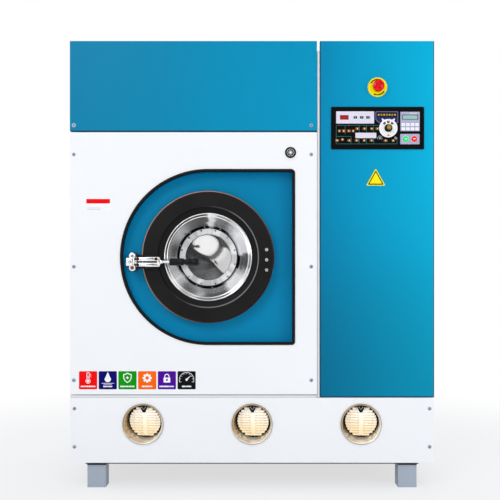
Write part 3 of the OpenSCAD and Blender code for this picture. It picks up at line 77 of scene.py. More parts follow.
def add(tree, kind, inputs=None, **settings):
    """Adds a shader node. An input given as a socket is linked, and any other is a value."""
    made = tree.nodes.new("ShaderNode" + kind)
    for name, value in settings.items():
        setattr(made, name, value)
    for name, value in (inputs or {}).items():
        if isinstance(value, bpy.types.NodeSocket):
            tree.links.new(value, made.inputs[name])
        else:
            made.inputs[name].default_value = value
    return made


class Finish:
    """A material built node by node. Each method adds one node and gives its result, which
    then serves as an input of the next ones."""

    def __init__(self, name):
        self.material = bpy.data.materials.new(name)
        self.material.use_nodes = True
        self.tree = self.material.node_tree
        self.tree.nodes.clear()
        self.place = add(self.tree, "TexCoord").outputs["Object"]

    def node(self, kind, inputs=None, **settings):
        return add(self.tree, kind, inputs, **settings).outputs[0]

    def noise(self, scale, detail=2.0, place=None):
        return self.node("TexNoise", {"Vector": place or self.place, "Scale": scale,
                                      "Detail": detail})

    def line_noise(self, value, length):
        """Noise along a single value, with features of that length in metres."""
        return self.node("TexNoise", {"W": value, "Scale": 1 / length, "Detail": 2.0},
                         noise_dimensions="1D")

    def math(self, operation, *values):
        return self.node("Math", dict(enumerate(values)), operation=operation)

    def vector(self, operation, *values):
        made = add(self.tree, "VectorMath", dict(enumerate(values)), operation=operation)
        return made.outputs["Value" if operation in ("LENGTH", "DOT_PRODUCT") else "Vector"]

    def axes(self, place=None):
        return add(self.tree, "SeparateXYZ", {"Vector": place or self.place}).outputs

    def remap(self, value, low, high, to_low=0.0, to_high=1.0, soft=False):
        return self.node("MapRange", {"Value": value, "From Min": low, "From Max": high,
                                      "To Min": to_low, "To Max": to_high},
                         interpolation_type="SMOOTHSTEP" if soft else "LINEAR")

    def blend(self, share, first, second):
        """From the first hex colour to the second as the share rises from 0 to 1."""
        return add(self.tree, "Mix", {0: share, 6: linear(first), 7: linear(second)},
                   data_type="RGBA").outputs[2]

    def ramp(self, share, stops):
        """Runs through linear colours. The stops rise from 0 to 1."""
        made = add(self.tree, "ValToRGB", {"Fac": share})
        elements = made.color_ramp.elements
        for spot, colour in stops[1:-1]:
            elements.new(spot)
        for stop, (spot, colour) in zip(elements, stops):
            stop.color = colour
        return made.outputs["Color"]

    def bump(self, height, distance):
        return self.node("Bump", {"Distance": distance, "Height": height})

    def mixed(self, share, first, second):
        return self.node("MixShader", {0: share, 1: first, 2: second})

    def shader(self, **values):
        """A Principled shader. Its inputs are named in small letters with underscores."""
        return self.node("BsdfPrincipled", {
            name.replace("_", " ").title().replace("Ior", "IOR"): value
            for name, value in values.items()})

    def shown(self, shader):
        add(self.tree, "OutputMaterial", {"Surface": shader})
        return self.material

    def done(self, **values):
        """Ends the material with a Principled shader."""
        return self.shown(self.shader(**values))


def as_piece(bm, name, *materials, smooth=35):
    """The bmesh as an object at the origin, shaded smooth below that angle in degrees."""
    mesh = bpy.data.meshes.new(name)
    bm.to_mesh(mesh)
    bm.free()
    mesh.polygons.foreach_set("use_smooth", [True] * len(mesh.polygons))
    mesh.set_sharp_from_angle(angle=math.radians(smooth))
    for material in materials:
        mesh.materials.append(material)
    piece = bpy.data.objects.new(name, mesh)
    bpy.context.scene.collection.objects.link(piece)
    return piece


def moved(x, y, z):
    return Matrix.Translation((x, y, z))


def turned(degrees, axis="Y"):
    return Matrix.Rotation(math.radians(degrees), 4, axis)


def revolve(part, verts, edges, steps, degrees=360):
    """Spins a line round the depth axis, and welds what meets on it or at the seam."""
    bmesh.ops.spin(part, geom=verts + edges, cent=(0, 0, 0), axis=(0, 1, 0),
                   angle=math.radians(degrees), steps=steps, use_merge=degrees == 360)
    bmesh.ops.remove_doubles(part, verts=part.verts, dist=weld)
    bmesh.ops.dissolve_degenerate(part, edges=part.edges, dist=weld / 10)


# The paper floor shows a light shadow near the machine, and fades to plain white further
# out for the camera, a mirror or a glass.
paper = Finish("matt_paper_floor")
path = add(paper.tree, "LightPath").outputs
seen = paper.math("MAXIMUM", path["Is Camera Ray"], path["Is Transmission Ray"])
seen = paper.math("MAXIMUM", seen, path["Is Glossy Ray"])
far = paper.remap(paper.vector("LENGTH", paper.place), 0.9, 2.4, soft=True)
fibres = paper.bump(paper.noise(400.0), 0.0002)
matt = paper.node("BsdfDiffuse", {"Color": linear("#EDEEF1"), "Normal": fibres})
shaded = paper.node("BsdfDiffuse", {"Color": linear("#8E9094"), "Normal": fibres})
glow = paper.node("Emission", {"Color": linear("#FFFFFF"), "Strength": 0.68})
lit = paper.node("AddShader", {0: shaded, 1: glow})
white = paper.node("Emission", {"Color": linear("#FFFFFF"), "Strength": 1.0})
bm = bmesh.new()
bmesh.ops.create_grid(bm, x_segments=1, y_segments=1, size=floor_half)
floor = as_piece(bm, "paper_floor",
                 paper.shown(paper.mixed(seen, matt, paper.mixed(far, lit, white))))

# The room: white for the camera, for mirrors and for glass, and softer for its light.
world = bpy.data.worlds.new("studio")
bpy.context.scene.world = world
world.use_nodes = True
tree = world.node_tree
tree.nodes.clear()
path = add(tree, "LightPath").outputs
mirror = add(tree, "Math", {0: path["Is Glossy Ray"], 1: path["Is Transmission Ray"]},
             operation="MAXIMUM")
seen = add(tree, "Math", {0: path["Is Camera Ray"], 1: mirror.outputs[0]}, operation="MAXIMUM")
soft = add(tree, "Background", {"Color": linear("#FAFBFD"), "Strength": 0.62})
pale = add(tree, "Background", {"Color": linear("#FFFFFF"), "Strength": 1.0})
choice = add(tree, "MixShader", {0: seen.outputs[0], 1: soft.outputs[0], 2: pale.outputs[0]})
add(tree, "OutputWorld", {"Surface": choice.outputs[0]})


def soft_box(name, place, aim, size, watts):
    """A square studio lamp that points at a place."""
    lamp = bpy.data.lights.new(name, "AREA")
    lamp.size = size
    lamp.energy = watts
    made = bpy.data.objects.new(name, lamp)
    made.location = place
    made.rotation_euler = (Vector(aim) - Vector(place)).to_track_quat("-Z", "Y").to_euler()
    bpy.context.scene.collection.objects.link(made)
    return made


soft_box("key_light", (-1.9, -4.4, 3.1), (0, -0.4, 0.8), 1.8, 54)
soft_box("right_light", (2.4, -3.2, 1.3), (0.3, -0.5, 0.7), 1.2, 15)
fill = soft_box("camera_light", (0.3, -4.3, 0.55), (0.0, -0.5, 0.6), 0.9, 18)
fill.visible_glossy = False
fill.visible_transmission = False
soft_box("back_light", (0.8, 4.2, 3.2), (0, 0.5, 0.9), 1.8, 52)

# Black and grey studio cards, which only mirrors see, draw the dark wedges in the polished
# steel: they are sectors of a disc round the camera. Each is given by its clock position
# and its span in degrees, its inner and outer radius, and its grey.
card_plane = front - camera_distance - 0.05
cards = ((262, 78, 0.10, 0.62, 0.02), (100, 26, 0.12, 0.60, 0.03), (160, 42, 0.12, 0.55, 0.22),
         (203, 26, 0.12, 0.50, 0.10))
for number, (clock, span, near_r, far_r, grey) in enumerate(cards):
    cloth = Finish(f"card_cloth_{number}")
    weave = cloth.node("Emission", {"Color": (grey, grey, grey, 1.0), "Strength": 1.0})
    bm = bmesh.new()
    ends = [bm.verts.new((0, 0, near_r)), bm.verts.new((0, 0, far_r))]
    edge = bm.edges.new(ends)
    bmesh.ops.transform(bm, matrix=turned(clock), verts=bm.verts)
    revolve(bm, ends, [edge], 8, span)
    bmesh.ops.translate(bm, verts=bm.verts, vec=(door_x, card_plane, door_z))
    card = as_piece(bm, f"card_{number}", cloth.shown(weave))
    for ray in ("camera", "diffuse", "shadow", "transmission"):
        setattr(card, f"visible_{ray}", False)

# ---------------------------------------------------------------------------------------
# Frame, legs and tray. Square steel tube, welded and brushed with grey enamel, on four
# legs; the tray under the machine is painted dark, and a brown packing lies on each leg.
orange_peel = 0.005
peel_height = 0.00006
satin_sheen = 0.16


def surface(name, colour, deep, grain, height, roughness, spread=0.05, cloud=0.25, **values):
    """A finish whose colour and gloss drift a little, over a fine relief. The relief's
    grain and height, and the size of the drift, are lengths in metres."""
    skin = Finish(name)
    drift = skin.noise(1 / cloud, 4.0)
    rough = skin.remap(drift, 0.3, 0.7, max(roughness - spread, 0.02), roughness + spread)
    if not values.get("metallic"):
        values = {"specular_ior_level": satin_sheen, **values}
    return skin.done(base_color=skin.blend(drift, deep, colour), roughness=rough,
                     normal=skin.bump(skin.noise(1 / grain), height), **values)


def powder_coat(name, colour, deep, roughness=0.36, relief=peel_height):
    """Baked polyester powder on steel: satin, with an orange-peel skin and a faint coat.
    The real peel is 2 mm wide, and it is drawn at 5 mm so that it shows in the render."""
    return surface(name, colour, deep, orange_peel, relief, roughness, cloud=0.4,
                   coat_weight=0.05, coat_roughness=0.2)


def dress(node, material):
    """Gives a node of the frame its finish."""
    nodes[node].data.materials.clear()
    nodes[node].data.materials.append(material)


def settle(bm, name, body, slot, *materials, stands_for=(), smooth=35):
    """Makes the mesh a piece that rides on a body, in the finishes given. The slot is not used."""
    piece = as_piece(bm, name, *materials, smooth=smooth)
    if stands_for:
        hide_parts(*stands_for)
    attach(piece, body)


def join(bm, part, place, paint=0):
    """Adds a part to a piece's mesh, at a place and in one of the piece's finishes."""
    bmesh.ops.transform(part, matrix=place, verts=part.verts)
    bmesh.ops.recalc_face_normals(part, faces=part.faces)
    for face in part.faces:
        face.material_index = paint
    mesh = bpy.data.meshes.new("part")
    part.to_mesh(mesh)
    part.free()
    bm.from_mesh(mesh)
    bpy.data.meshes.remove(mesh)


def block(bm, low, high, edge=0.0, paint=0, place=Matrix.Identity(4), segments=2):
    """A box between two corners, with its edges rounded."""
    part = bmesh.new()
    bmesh.ops.create_cube(part, size=1.0)
    low = Vector(low)
    high = Vector(high)
    shape = moved(*((low + high) / 2)) @ Matrix.Diagonal((*(high - low), 1))
    bmesh.ops.transform(part, matrix=shape, verts=part.verts)
    if edge:
        bmesh.ops.bevel(part, geom=part.edges, offset=edge, segments=segments, profile=0.5,
                        affect="EDGES", material=-1)
    join(bm, part, place, paint)


dress("base_frame", powder_coat("grey_enamel", "#AFBAC7", "#9CA8B6", roughness=0.42))
dress("spill_tray", powder_coat("dark_grey_enamel", "#3C3F46", "#303339", roughness=0.5))

leg_x = 0.548
packing_half = 0.0335
packing_h = 0.005
leg_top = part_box("spill_tray")[0].z
bm = bmesh.new()
for x in (-leg_x, leg_x):
    for y in (front + 0.0565, front + 0.9935):
        block(bm, (x - packing_half, y - packing_half, leg_top - packing_h),
              (x + packing_half, y + packing_half, leg_top), 0.0006)
settle(bm, "leg_packings", "cabinet", "rubber",
       surface("brown_packing_rubber", "#4A3A36", "#352A28", 0.002, 0.0001, 0.7))

# ---------------------------------------------------------------------------------------
# Cabinet panels. Folded steel sheet with a baked powder coat: white on the sides, the base
# and the front, and blue on the fascia and the recess, with painted light that brightens the
# fascia toward the right and the recess toward the left.
white_powder = powder_coat("white_powder_coat", "#F6F7F9", "#F0F2F5")
for panel in ("front_panel", "base_panel", "side_panels", "rear_panel", "roof_panel"):
    dress(panel, white_powder)


def blue_with_painted_light(name, node, left, right, foot=1.0, foot_h=0.85):
    """Blue powder coat with painted light, whose tone runs from the left colour to the right one
    across a node of the frame, and painted shade that darkens it toward its lower edge by the
    share foot over the height foot_h."""
    low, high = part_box(node)
    skin = Finish(name)
    axes = skin.axes()
    # The painted light runs across the node, and the painted shade rises from its foot.
    painted_side_light = skin.blend(skin.remap(axes["X"], low.x, high.x), left, right)
    rise = skin.remap(axes["Z"], low.z, low.z + foot_h, foot, 1.0, soft=True)
    cloud = skin.noise(2.5, 3.0)
    depth = skin.math("MULTIPLY", rise, skin.remap(cloud, 0.0, 1.0, 0.93, 1.05))
    shade = skin.node("VectorMath", {0: painted_side_light, "Scale": depth}, operation="SCALE")
    return skin.done(base_color=shade, roughness=skin.remap(cloud, 0.0, 1.0, 0.3, 0.42),
                     normal=skin.bump(skin.noise(1 / orange_peel), peel_height),
                     specular_ior_level=0.09)


dress("top_fascia", blue_with_painted_light("fascia_blue_powder_coat", "top_fascia", "#007FA8", "#0093BD"))
pan_blue = blue_with_painted_light("recess_blue_powder_coat", "recess_pan", "#008CBC", "#0084B2")
for node in ("recess_pan", "hinge_bracket"):
    dress(node, pan_blue)

# The fascia's folded lower edge: a dark blue band painted as the shade in the seam below it.
painted_edge_shade = powder_coat("dark_blue_edge", "#0A4A66", "#083C54")
fascia_low, fascia_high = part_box("top_fascia")
bm = bmesh.new()
block(bm, (fascia_low.x + 0.0004, front - 0.0003, fascia_low.z + 0.0001),
      (fascia_high.x - 0.0004, front + 0.004, fascia_low.z + 0.0018), 0.0002)
settle(bm, "fascia_lower_edge", "cabinet", "blue_paint", painted_edge_shade)

# ---------------------------------------------------------------------------------------
# Joint strips. Light grey sealing strip of foamed rubber, glued into the seam over the base
# panel and into the slot beside the electrical door, a little behind the sheet.
strip_depth = 0.003
seam_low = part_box("base_panel")[1].z + 0.0004
seam_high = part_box("front_panel")[0].z - 0.0032
slot_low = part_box("front_panel")[1].x
slot_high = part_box("electrical_door")[0].x
bm = bmesh.new()
block(bm, (fascia_low.x + 0.001, front + strip_depth, seam_low),
      (slot_low, front + 0.02, seam_high), 0.0008)
block(bm, (slot_low + 0.0016, front + strip_depth, seam_low),
      (slot_high - 0.0008, front + 0.0215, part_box("side_panels")[1].z), 0.0008)
settle(bm, "joint_strips", "cabinet", "rubber",
       surface("light_grey_foam_rubber", "#EAEBEC", "#DEDFE1", 0.0015, 0.0001, 0.6))

# ---------------------------------------------------------------------------------------
# Electrical door. The same folded sheet in a brighter blue, with painted light that
# brightens it toward the hinge side and painted shade that darkens it toward the floor, and
# dark bands on its returned edges painted as shade.
dress("electrical_door", blue_with_painted_light("bright_blue_powder_coat", "electrical_door", "#0086B2",
                                      "#00B2DC", foot=0.62))
door_low, door_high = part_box("electrical_door")
# Dark blue bands on the door's sides and foot, painted as the shade of its returned edges.
edge_w = 0.0026
edge_top = door_high.z - 0.001
bm = bmesh.new()
for low_x, high_x, top_z in ((door_low.x, door_low.x + edge_w, edge_top),
                             (door_high.x - edge_w, door_high.x, edge_top),
                             (door_low.x + 0.0003, door_high.x - 0.0003, door_low.z + edge_w)):
    block(bm, (low_x, front - 0.0004, door_low.z + 0.0001), (high_x, front + 0.004, top_z), 0.0003)
settle(bm, "electrical_door_edges", "cabinet_door", "blue_paint", painted_edge_shade)

# ---------------------------------------------------------------------------------------
# Panel screws. Pan heads of zinc-plated steel with a cross recess, each over a flat washer,
# screwed through the edges of the panels into the frame.
zinc = surface("zinc_plated_steel", "#A9B1C0", "#8790A0", 0.0012, 0.00002, 0.3, cloud=0.05,
               metallic=1.0)
dress("panel_screws", zinc)


def at(x, z, depth=0.0, turn=0.0):
    """A place on the front, at a depth behind it. The turn is in degrees, clockwise."""
    return moved(x, front + depth, z) @ turned(turn)


def round_corners(part, geom, offset, affect, segments):
    bmesh.ops.bevel(part, geom=geom, offset=offset, segments=segments, profile=0.5,
                    affect=affect, material=-1)


def thicken(part, thick, edge=0.0):
    """Pulls flat faces toward the front, and softens their outer edge there."""
    made = bmesh.ops.extrude_face_region(part, geom=part.faces[:])
    lifted = [v for v in made["geom"] if isinstance(v, bmesh.types.BMVert)]
    bmesh.ops.translate(part, verts=lifted, vec=(0, -thick, 0))
    bmesh.ops.recalc_face_normals(part, faces=part.faces)
    if edge:
        raised = set(lifted)
        rim = [e for e in part.edges if raised.issuperset(e.verts) and len(e.link_faces) == 2
               and e.calc_face_angle(0) > 0.5]
        round_corners(part, rim, edge, "EDGES", 2)


def tile(bm, place, w, h, thick, corner=0.0, edge=0.0, paint=0):
    """A plate that faces the front, with round corners. Its back lies at the place."""
    part = bmesh.new()
    bmesh.ops.create_grid(part, x_segments=1, y_segments=1, size=0.5)
    bmesh.ops.transform(part, matrix=turned(90, "X") @ Matrix.Diagonal((w, h, 1, 1)),
                        verts=part.verts)
    if corner:
        round_corners(part, part.verts, corner, "VERTICES", 4)
    thicken(part, thick, edge)
    join(bm, part, place, paint)


def spun(bm, profile, place, steps=96, paint=0):
    """Turns a closed profile of radius and depth round the place's depth axis."""
    part = bmesh.new()
    verts = [part.verts.new((r, d, 0)) for r, d in profile]
    edges = [part.edges.new(pair) for pair in zip(verts, verts[1:] + verts[:1])]
    revolve(part, verts, edges, steps)
    join(bm, part, place, paint)


# Dark crosses on the screw heads, and dark spots and slots on the bolt heads, are painted shade
# standing for their recesses.
recess_dark = surface("shadowed_recess", "#2B2D33", "#1C1E22", 0.001, 0.00002, 0.6)
screw_places = [(x, z) for x in (-0.6235, 0.2075) for z in (0.38075, 0.778, 1.17075, 1.27325)]
screw_places += [(x, z) for x in (-0.6215, 0.6215) for z in (0.1477, 0.2815)]
recesses = bmesh.new()
washers = bmesh.new()
for i, (x, z) in enumerate(screw_places):
    for quarter in (0, 90):
        tile(recesses, at(x, z, -0.0026, 20 + 37 * i + quarter), 0.0056, 0.0011, 0.00032)
    spun(washers, [(0.0046, 0), (0.0066, 0), (0.0066, -0.0005), (0.0046, -0.0005)], at(x, z), 28)
settle(recesses, "screw_recesses", "cabinet", "zinc", recess_dark)
settle(washers, "screw_washers", "cabinet", "zinc", zinc)

pan_head = [(0, 0), (0.005, 0), (0.0047, -0.0012), (0.0036, -0.0021), (0.002, -0.0026),
            (0, -0.0028)]
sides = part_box("side_panels")
rear_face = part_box("rear_panel")[0].y + 0.022
places = []
for z in (0.16, 0.5, 0.84, 1.18, 1.48):
    for s, x in ((-1, sides[0].x), (1, sides[1].x)):
        for y in (sides[0].y + 0.045, sides[1].y - 0.03):
            places.append(moved(x - s * 0.0029, y, z) @ turned(90 * s, "Z"))
for z in (0.16, 0.6, 1.04, 1.48):
    for x in (-0.62, 0.62):
        places.append(moved(x, rear_face, z) @ turned(180, "Z"))
bm = bmesh.new()
for place in places:
    spun(bm, pan_head, place, 20)
settle(bm, "side_and_rear_screws", "cabinet", "zinc", zinc)

# ---------------------------------------------------------------------------------------
# Film stickers. Six squares of printed vinyl under the recess, each with a white picture
# cut from a second film: thermometer, drop, shield, gear, padlock and gauge.
sticker_side = 0.0635
sticker_x = -0.5737
sticker_pitch = 0.06896
sticker_z = 0.3806
film = 0.0003
ink = 0.00025


def vinyl(name, colour, deep):
    """Printed and laminated film: a flat colour with a soft gloss and faint ripples."""
    return surface(name, colour, deep, 0.012, 0.00003, 0.3, cloud=0.06, specular_ior_level=0.1)


def disc(bm, place, radius, thick, hole=0.0, steps=32, sweep=360, start=0.0, paint=0):
    """A flat disc, ring or arc: a radial edge is spun by the sweep, clockwise from the
    start, both in degrees."""
    part = bmesh.new()
    ends = [part.verts.new((hole, 0, 0)), part.verts.new((radius, 0, 0))]
    revolve(part, ends, [part.edges.new(ends)], steps, sweep)
    thicken(part, thick)
    join(bm, part, place @ turned(start), paint)


def cut_shape(bm, place, points, thick, paint=0, edge=0.0, corner=0.0):
    """A flat shape from its corner points, across and up, with its corners rounded."""
    part = bmesh.new()
    part.faces.new([part.verts.new((x, 0, z)) for x, z in points])
    if corner:
        round_corners(part, part.verts, corner, "VERTICES", 4)
    thicken(part, thick, edge)
    join(bm, part, place, paint)


def scaled(points, across, up):
    return [(x * across, z * up) for x, z in points]


def picture(number, x=0.0, z=0.0, lift=0.0):
    """A place on a sticker, from the middle of its picture, lifted off the film."""
    return at(sticker_x + number * sticker_pitch, sticker_z + 0.008, -film) @ moved(x, -lift, z)


colours = (("red", "#F80A10", "#EE0008"), ("navy", "#020470", "#000064"),
           ("green", "#0A9C0A", "#009000"), ("orange", "#FF6C06", "#F66200"),
           ("purple", "#54049E", "#4A0092"), ("black", "#0A0A0C", "#050506"))
films = {name: vinyl(f"{name}_vinyl", colour, deep) for name, colour, deep in colours}
white_film = vinyl("white_cut_vinyl", "#FFFFFF", "#F4F4F6")
for i, name in enumerate(films):
    bm = bmesh.new()
    tile(bm, at(sticker_x + i * sticker_pitch, sticker_z), sticker_side, sticker_side, film,
         0.0035, 0.0001)
    settle(bm, f"sticker_{name}", "cabinet", "white_paint", films[name])

# Thermometer: a glass tube drawn as an outline, with its bulb filled.
bm = bmesh.new()
for s in (-1, 1):
    tile(bm, picture(0, s * 0.0042, 0.0045), 0.0019, 0.0215, ink)
disc(bm, picture(0, z=0.01525), 0.00515, ink, 0.00325, 16, 180, 180)
disc(bm, picture(0, z=-0.0108), 0.0086, ink, 0.0066, 28, 302, -61)
disc(bm, picture(0, z=-0.0108), 0.0045, ink)
tile(bm, picture(0, z=0.0005), 0.0019, 0.0135, ink)
for z in (0.004, 0.0085, 0.013):
    tile(bm, picture(0, 0.0085, z), 0.004, 0.0014, ink)

# Drop: a circle with its top drawn out to a point, over two ripples.
drop_r = 0.0112
part = bmesh.new()
bmesh.ops.create_circle(part, cap_ends=True, segments=40, radius=drop_r, matrix=turned(90, "X"))
for v in part.verts:
    lift = max(v.co.z / drop_r, 0)
    v.co.z += 0.012 * lift ** 2.4
    v.co.x *= 1 - 0.55 * lift ** 1.2
thicken(part, ink)
join(bm, part, picture(1, z=-0.0035))
for row, w in enumerate((0.044, 0.03)):
    tile(bm, picture(1, z=-0.0185 - row * 0.0034), w, 0.0013, ink, 0.0006)

# Shield: a white border round a four-pointed star.
shield = [(-0.0150, 0.0128), (-0.0072, 0.0150), (0, 0.0188), (0.0072, 0.0150), (0.0150, 0.0128),
          (0.0143, -0.002), (0.0090, -0.0112), (0, -0.0178), (-0.0090, -0.0112),
          (-0.0143, -0.002)]
star = [(r * math.sin(math.tau * i / 8), r * math.cos(math.tau * i / 8))
        for i, r in enumerate((0.0064, 0.0026) * 4)]
cut_shape(bm, picture(2), shield, ink, corner=0.0008)
cut_shape(bm, picture(2, lift=ink), scaled(shield, 0.78, 0.8), ink / 2, paint=1, corner=0.0008)
cut_shape(bm, picture(2, z=0.001, lift=ink * 1.5), star, ink / 2)

# Gear: a ring with eight teeth.
disc(bm, picture(3), 0.0125, ink, 0.0062, 48)
for tooth in range(8):
    cut_shape(bm, picture(3) @ turned(tooth * 45), [(-0.0038, 0.0122), (0.0038, 0.0122),
                                                    (0.0026, 0.0162), (-0.0026, 0.0162)], ink)

# Padlock: a body and a shackle.
disc(bm, picture(4, z=0.0058), 0.0088, ink, 0.0058, 20, 180, 180)
for s in (-1, 1):
    tile(bm, picture(4, s * 0.0073, 0.0037), 0.003, 0.0042, ink)
tile(bm, picture(4, z=-0.0072), 0.0235, 0.0172, ink, 0.0018)

# Gauge: a scale of ticks round a needle.
hub = picture(5, z=-0.006)
for tick in range(9):
    tile(bm, hub @ turned(-110 + tick * 27.5) @ moved(0, 0, 0.0215), 0.0014, 0.0034, ink)
disc(bm, hub, 0.0262, ink, 0.0246, 48, 224, 158)
disc(bm, hub, 0.0042, ink)
cut_shape(bm, hub, [(0.0004, 0.0036), (0.0036, 0.0004), (0.0172, 0.0168)], ink)
settle(bm, "sticker_pictures", "cabinet", "white_paint", white_film, films["green"])

# A row of plain dashes under each picture, and the purple keyhole on the padlock.
dashes = random.Random(7)
bm = bmesh.new()
for i, w in enumerate((0.052, 0.032, 0.05, 0.038, 0.053, 0.033)):
    x = sticker_x + i * sticker_pitch - w / 2
    end = x + w
    while x < end - 0.002:
        step = min(dashes.uniform(0.003, 0.0056), end - x)
        tall = dashes.uniform(0.0042, 0.0058)
        tile(bm, at(x + step / 2, sticker_z - 0.0215, -film), step - 0.0008, tall, ink, 0.0007)
        x += step
settle(bm, "sticker_dashes", "cabinet", "white_paint", white_film)
bm = bmesh.new()
tile(bm, picture(4, z=-0.0065, lift=ink), 0.0062, 0.0068, ink, 0.0006)
settle(bm, "padlock_keyhole", "cabinet", "white_paint", films["purple"])

# ---------------------------------------------------------------------------------------
# Plain plates. A white film plate with a red band on the front panel, and a yellow
# triangle of enamelled sheet on the electrical door. Neither carries a word or a sign.
grey_film = vinyl("pale_grey_vinyl", "#C9CCD4", "#BFC3CB")
bm = bmesh.new()
tile(bm, at(-0.5385, 0.9933), 0.0845, 0.045, film, 0.002, 0.0001)
tile(bm, at(-0.5385, 1.0072, -film), 0.083, 0.0158, ink, 0.0012, paint=1)
for z in (0.9835, 0.9785):
    tile(bm, at(-0.5535, z, -film), 0.046, 0.0016, ink, paint=2)
settle(bm, "two_tone_plate", "cabinet", "white_paint", white_film, films["red"], grey_film)

yellow_enamel = surface("yellow_enamel", "#FFF000", "#F8E400", 0.006, 0.00004, 0.25, cloud=0.1,
                        coat_weight=0.1, coat_roughness=0.06)
triangle = [(-0.0335, -0.0275), (0.0335, -0.0275), (0, 0.0325)]
bm = bmesh.new()
cut_shape(bm, at(0.433, 1.0895), triangle, 0.0008, edge=0.0002, corner=0.004)
cut_shape(bm, at(0.433, 1.0880, -0.0008), scaled(triangle, 0.84, 0.84), 0.0002, paint=1,
          corner=0.003)
cut_shape(bm, at(0.433, 1.0870, -0.001), scaled(triangle, 0.66, 0.66), 0.0002, corner=0.002)
settle(bm, "yellow_triangle", "cabinet_door", "yellow", yellow_enamel,
       surface("dark_border_enamel", "#2E2008", "#1E1404", 0.006, 0.00004, 0.3))

# ---------------------------------------------------------------------------------------
# Sight windows. Each is a thin grey steel rim, a flared brass sleeve that runs in, up and
# to the side, and a moulded louvre of cream plastic on a black backing under a black clip.
window_xs = (-0.3815, 0.0, 0.3815)
window_z = 0.2275
half_pitch = 0.19075
rim_r = 0.0698
sleeve_r = 0.0623
sleeve_turn = turned(-7, "Z") @ turned(11, "X")

# The brass carries a painted highlight that turns it pale toward the lower right of each window.
skin = Finish("lacquered_brass")
axes = skin.axes()
across = skin.math("WRAP", axes["X"], half_pitch, -half_pitch)
upward = skin.math("SUBTRACT", axes["Z"], window_z)
painted_highlight = skin.math("MULTIPLY_ADD", across, 0.55, 0.0)
painted_highlight = skin.math("MULTIPLY_ADD", upward, -0.83, painted_highlight)
painted_highlight = skin.math("MULTIPLY_ADD", skin.noise(16.0, 3.0), 0.08, painted_highlight)
shade = skin.ramp(skin.remap(painted_highlight, 0.02, 0.1),
                  ((0.0, linear("#BC9F78")), (1.0, linear("#FFFCF4"))))
scratch = skin.node("Mapping", {"Vector": skin.place, "Scale": (1200, 60, 1200)})
brass = skin.done(base_color=shade, metallic=0.5, roughness=0.24, coat_weight=0.4,
                  coat_roughness=0.08, normal=skin.bump(skin.noise(1.0, place=scratch), 0.00002))
steel_rim = surface("brushed_grey_rim", "#B4B2A8", "#96938A", 0.0008, 0.00001, 0.3, metallic=1.0)


def circle_at(place, radius, depth, count=96):
    """Points of a circle round a place's depth axis."""
    return [place @ Vector((radius * math.cos(math.tau * i / count), depth,
                            radius * math.sin(math.tau * i / count))) for i in range(count)]


def lofted(bm, circles):
    """A skin through circles of the same count of points, from the first to the last."""
    part = bmesh.new()
    ring = [part.verts.new(p) for p in circles[0]]
    edges = [part.edges.new(pair) for pair in zip(ring, ring[1:] + ring[:1])]
    for points in circles[1:]:
        made = bmesh.ops.extrude_edge_only(part, edges=edges)["geom"]
        fresh = {v for v in made if isinstance(v, bmesh.types.BMVert)}
        edges = [e for e in made if isinstance(e, bmesh.types.BMEdge)
                 and fresh.issuperset(e.verts)]
        follow = {e.other_vert(v): v for v in fresh for e in v.link_edges
                  if e.other_vert(v) not in fresh}
        ring = [follow[v] for v in ring]
        for v, point in zip(ring, points):
            v.co = point
    bmesh.ops.remove_doubles(part, verts=part.verts, dist=weld)
    join(bm, part, Matrix.Identity(4))


rims = bmesh.new()
sleeves = bmesh.new()
for x in window_xs:
    flat = at(x, window_z)
    tilted = flat @ sleeve_turn
    spun(rims, [(0.0697, -0.0005), (0.0697, -0.0052), (0.0706, -0.006), (0.0716, -0.0052),
                (0.0718, -0.0003)], flat)
    lofted(sleeves, [circle_at(place, r, depth) for place, r, depth in (
        (flat, rim_r, -0.001), (flat, rim_r, -0.0052), (flat, 0.069, -0.0058),
        (flat, 0.0672, -0.0048), (flat, 0.0655, -0.0022), (flat, 0.0648, 0.001),
        (tilted, 0.0631, 0.018), (tilted, 0.0624, 0.034), (tilted, 0.0624, 0.074),
        (tilted, 0.0648, 0.074), (tilted, 0.0648, 0.034), (flat, 0.0668, 0.001),
        (flat, rim_r, -0.001))])
    spun(sleeves, [(0, 0.001), (0.0022, 0.001), (0.0022, 0), (0.0016, -0.0009), (0, -0.0012)],
         at(x - 0.047, window_z - 0.046, -0.0052), 16, paint=1)
settle(rims, "sight_ring_rims", "cabinet", "zinc", steel_rim)
settle(sleeves, "sight_sleeves", "cabinet", "brass", brass, steel_rim,
       stands_for=("sight_rings",))

# The plastic is painted with shade, tan toward the foot of each window and white toward its
# top, and it glows faintly as painted light.
skin = Finish("moulded_cream_plastic")
painted_top_light = skin.remap(skin.axes()["Z"], window_z - 0.06, window_z + 0.04)
cloud = skin.math("MULTIPLY_ADD", skin.noise(60.0, 3.0), 0.3, -0.15)
shade = skin.ramp(skin.math("ADD", painted_top_light, cloud),
                  ((0.0, linear("#E8CE9A")), (0.4, linear("#F4E4C2")), (1.0, linear("#FFFEFA"))))
cream = skin.done(base_color=shade, roughness=0.3, normal=skin.bump(skin.noise(900.0), 0.00002),
                  emission_color=linear("#FFF6E0"), emission_strength=0.2)
black_moulding = surface("black_moulded_plastic", "#111214", "#08090A", 0.0012, 0.00003, 0.42)
# The louvre's base behind the slats is a darker tan, painted as the shade in the gaps between
# them.
tan_plastic = surface("shaded_tan_plastic", "#B08C58", "#94703F", 0.001, 0.00002, 0.4, cloud=0.02)

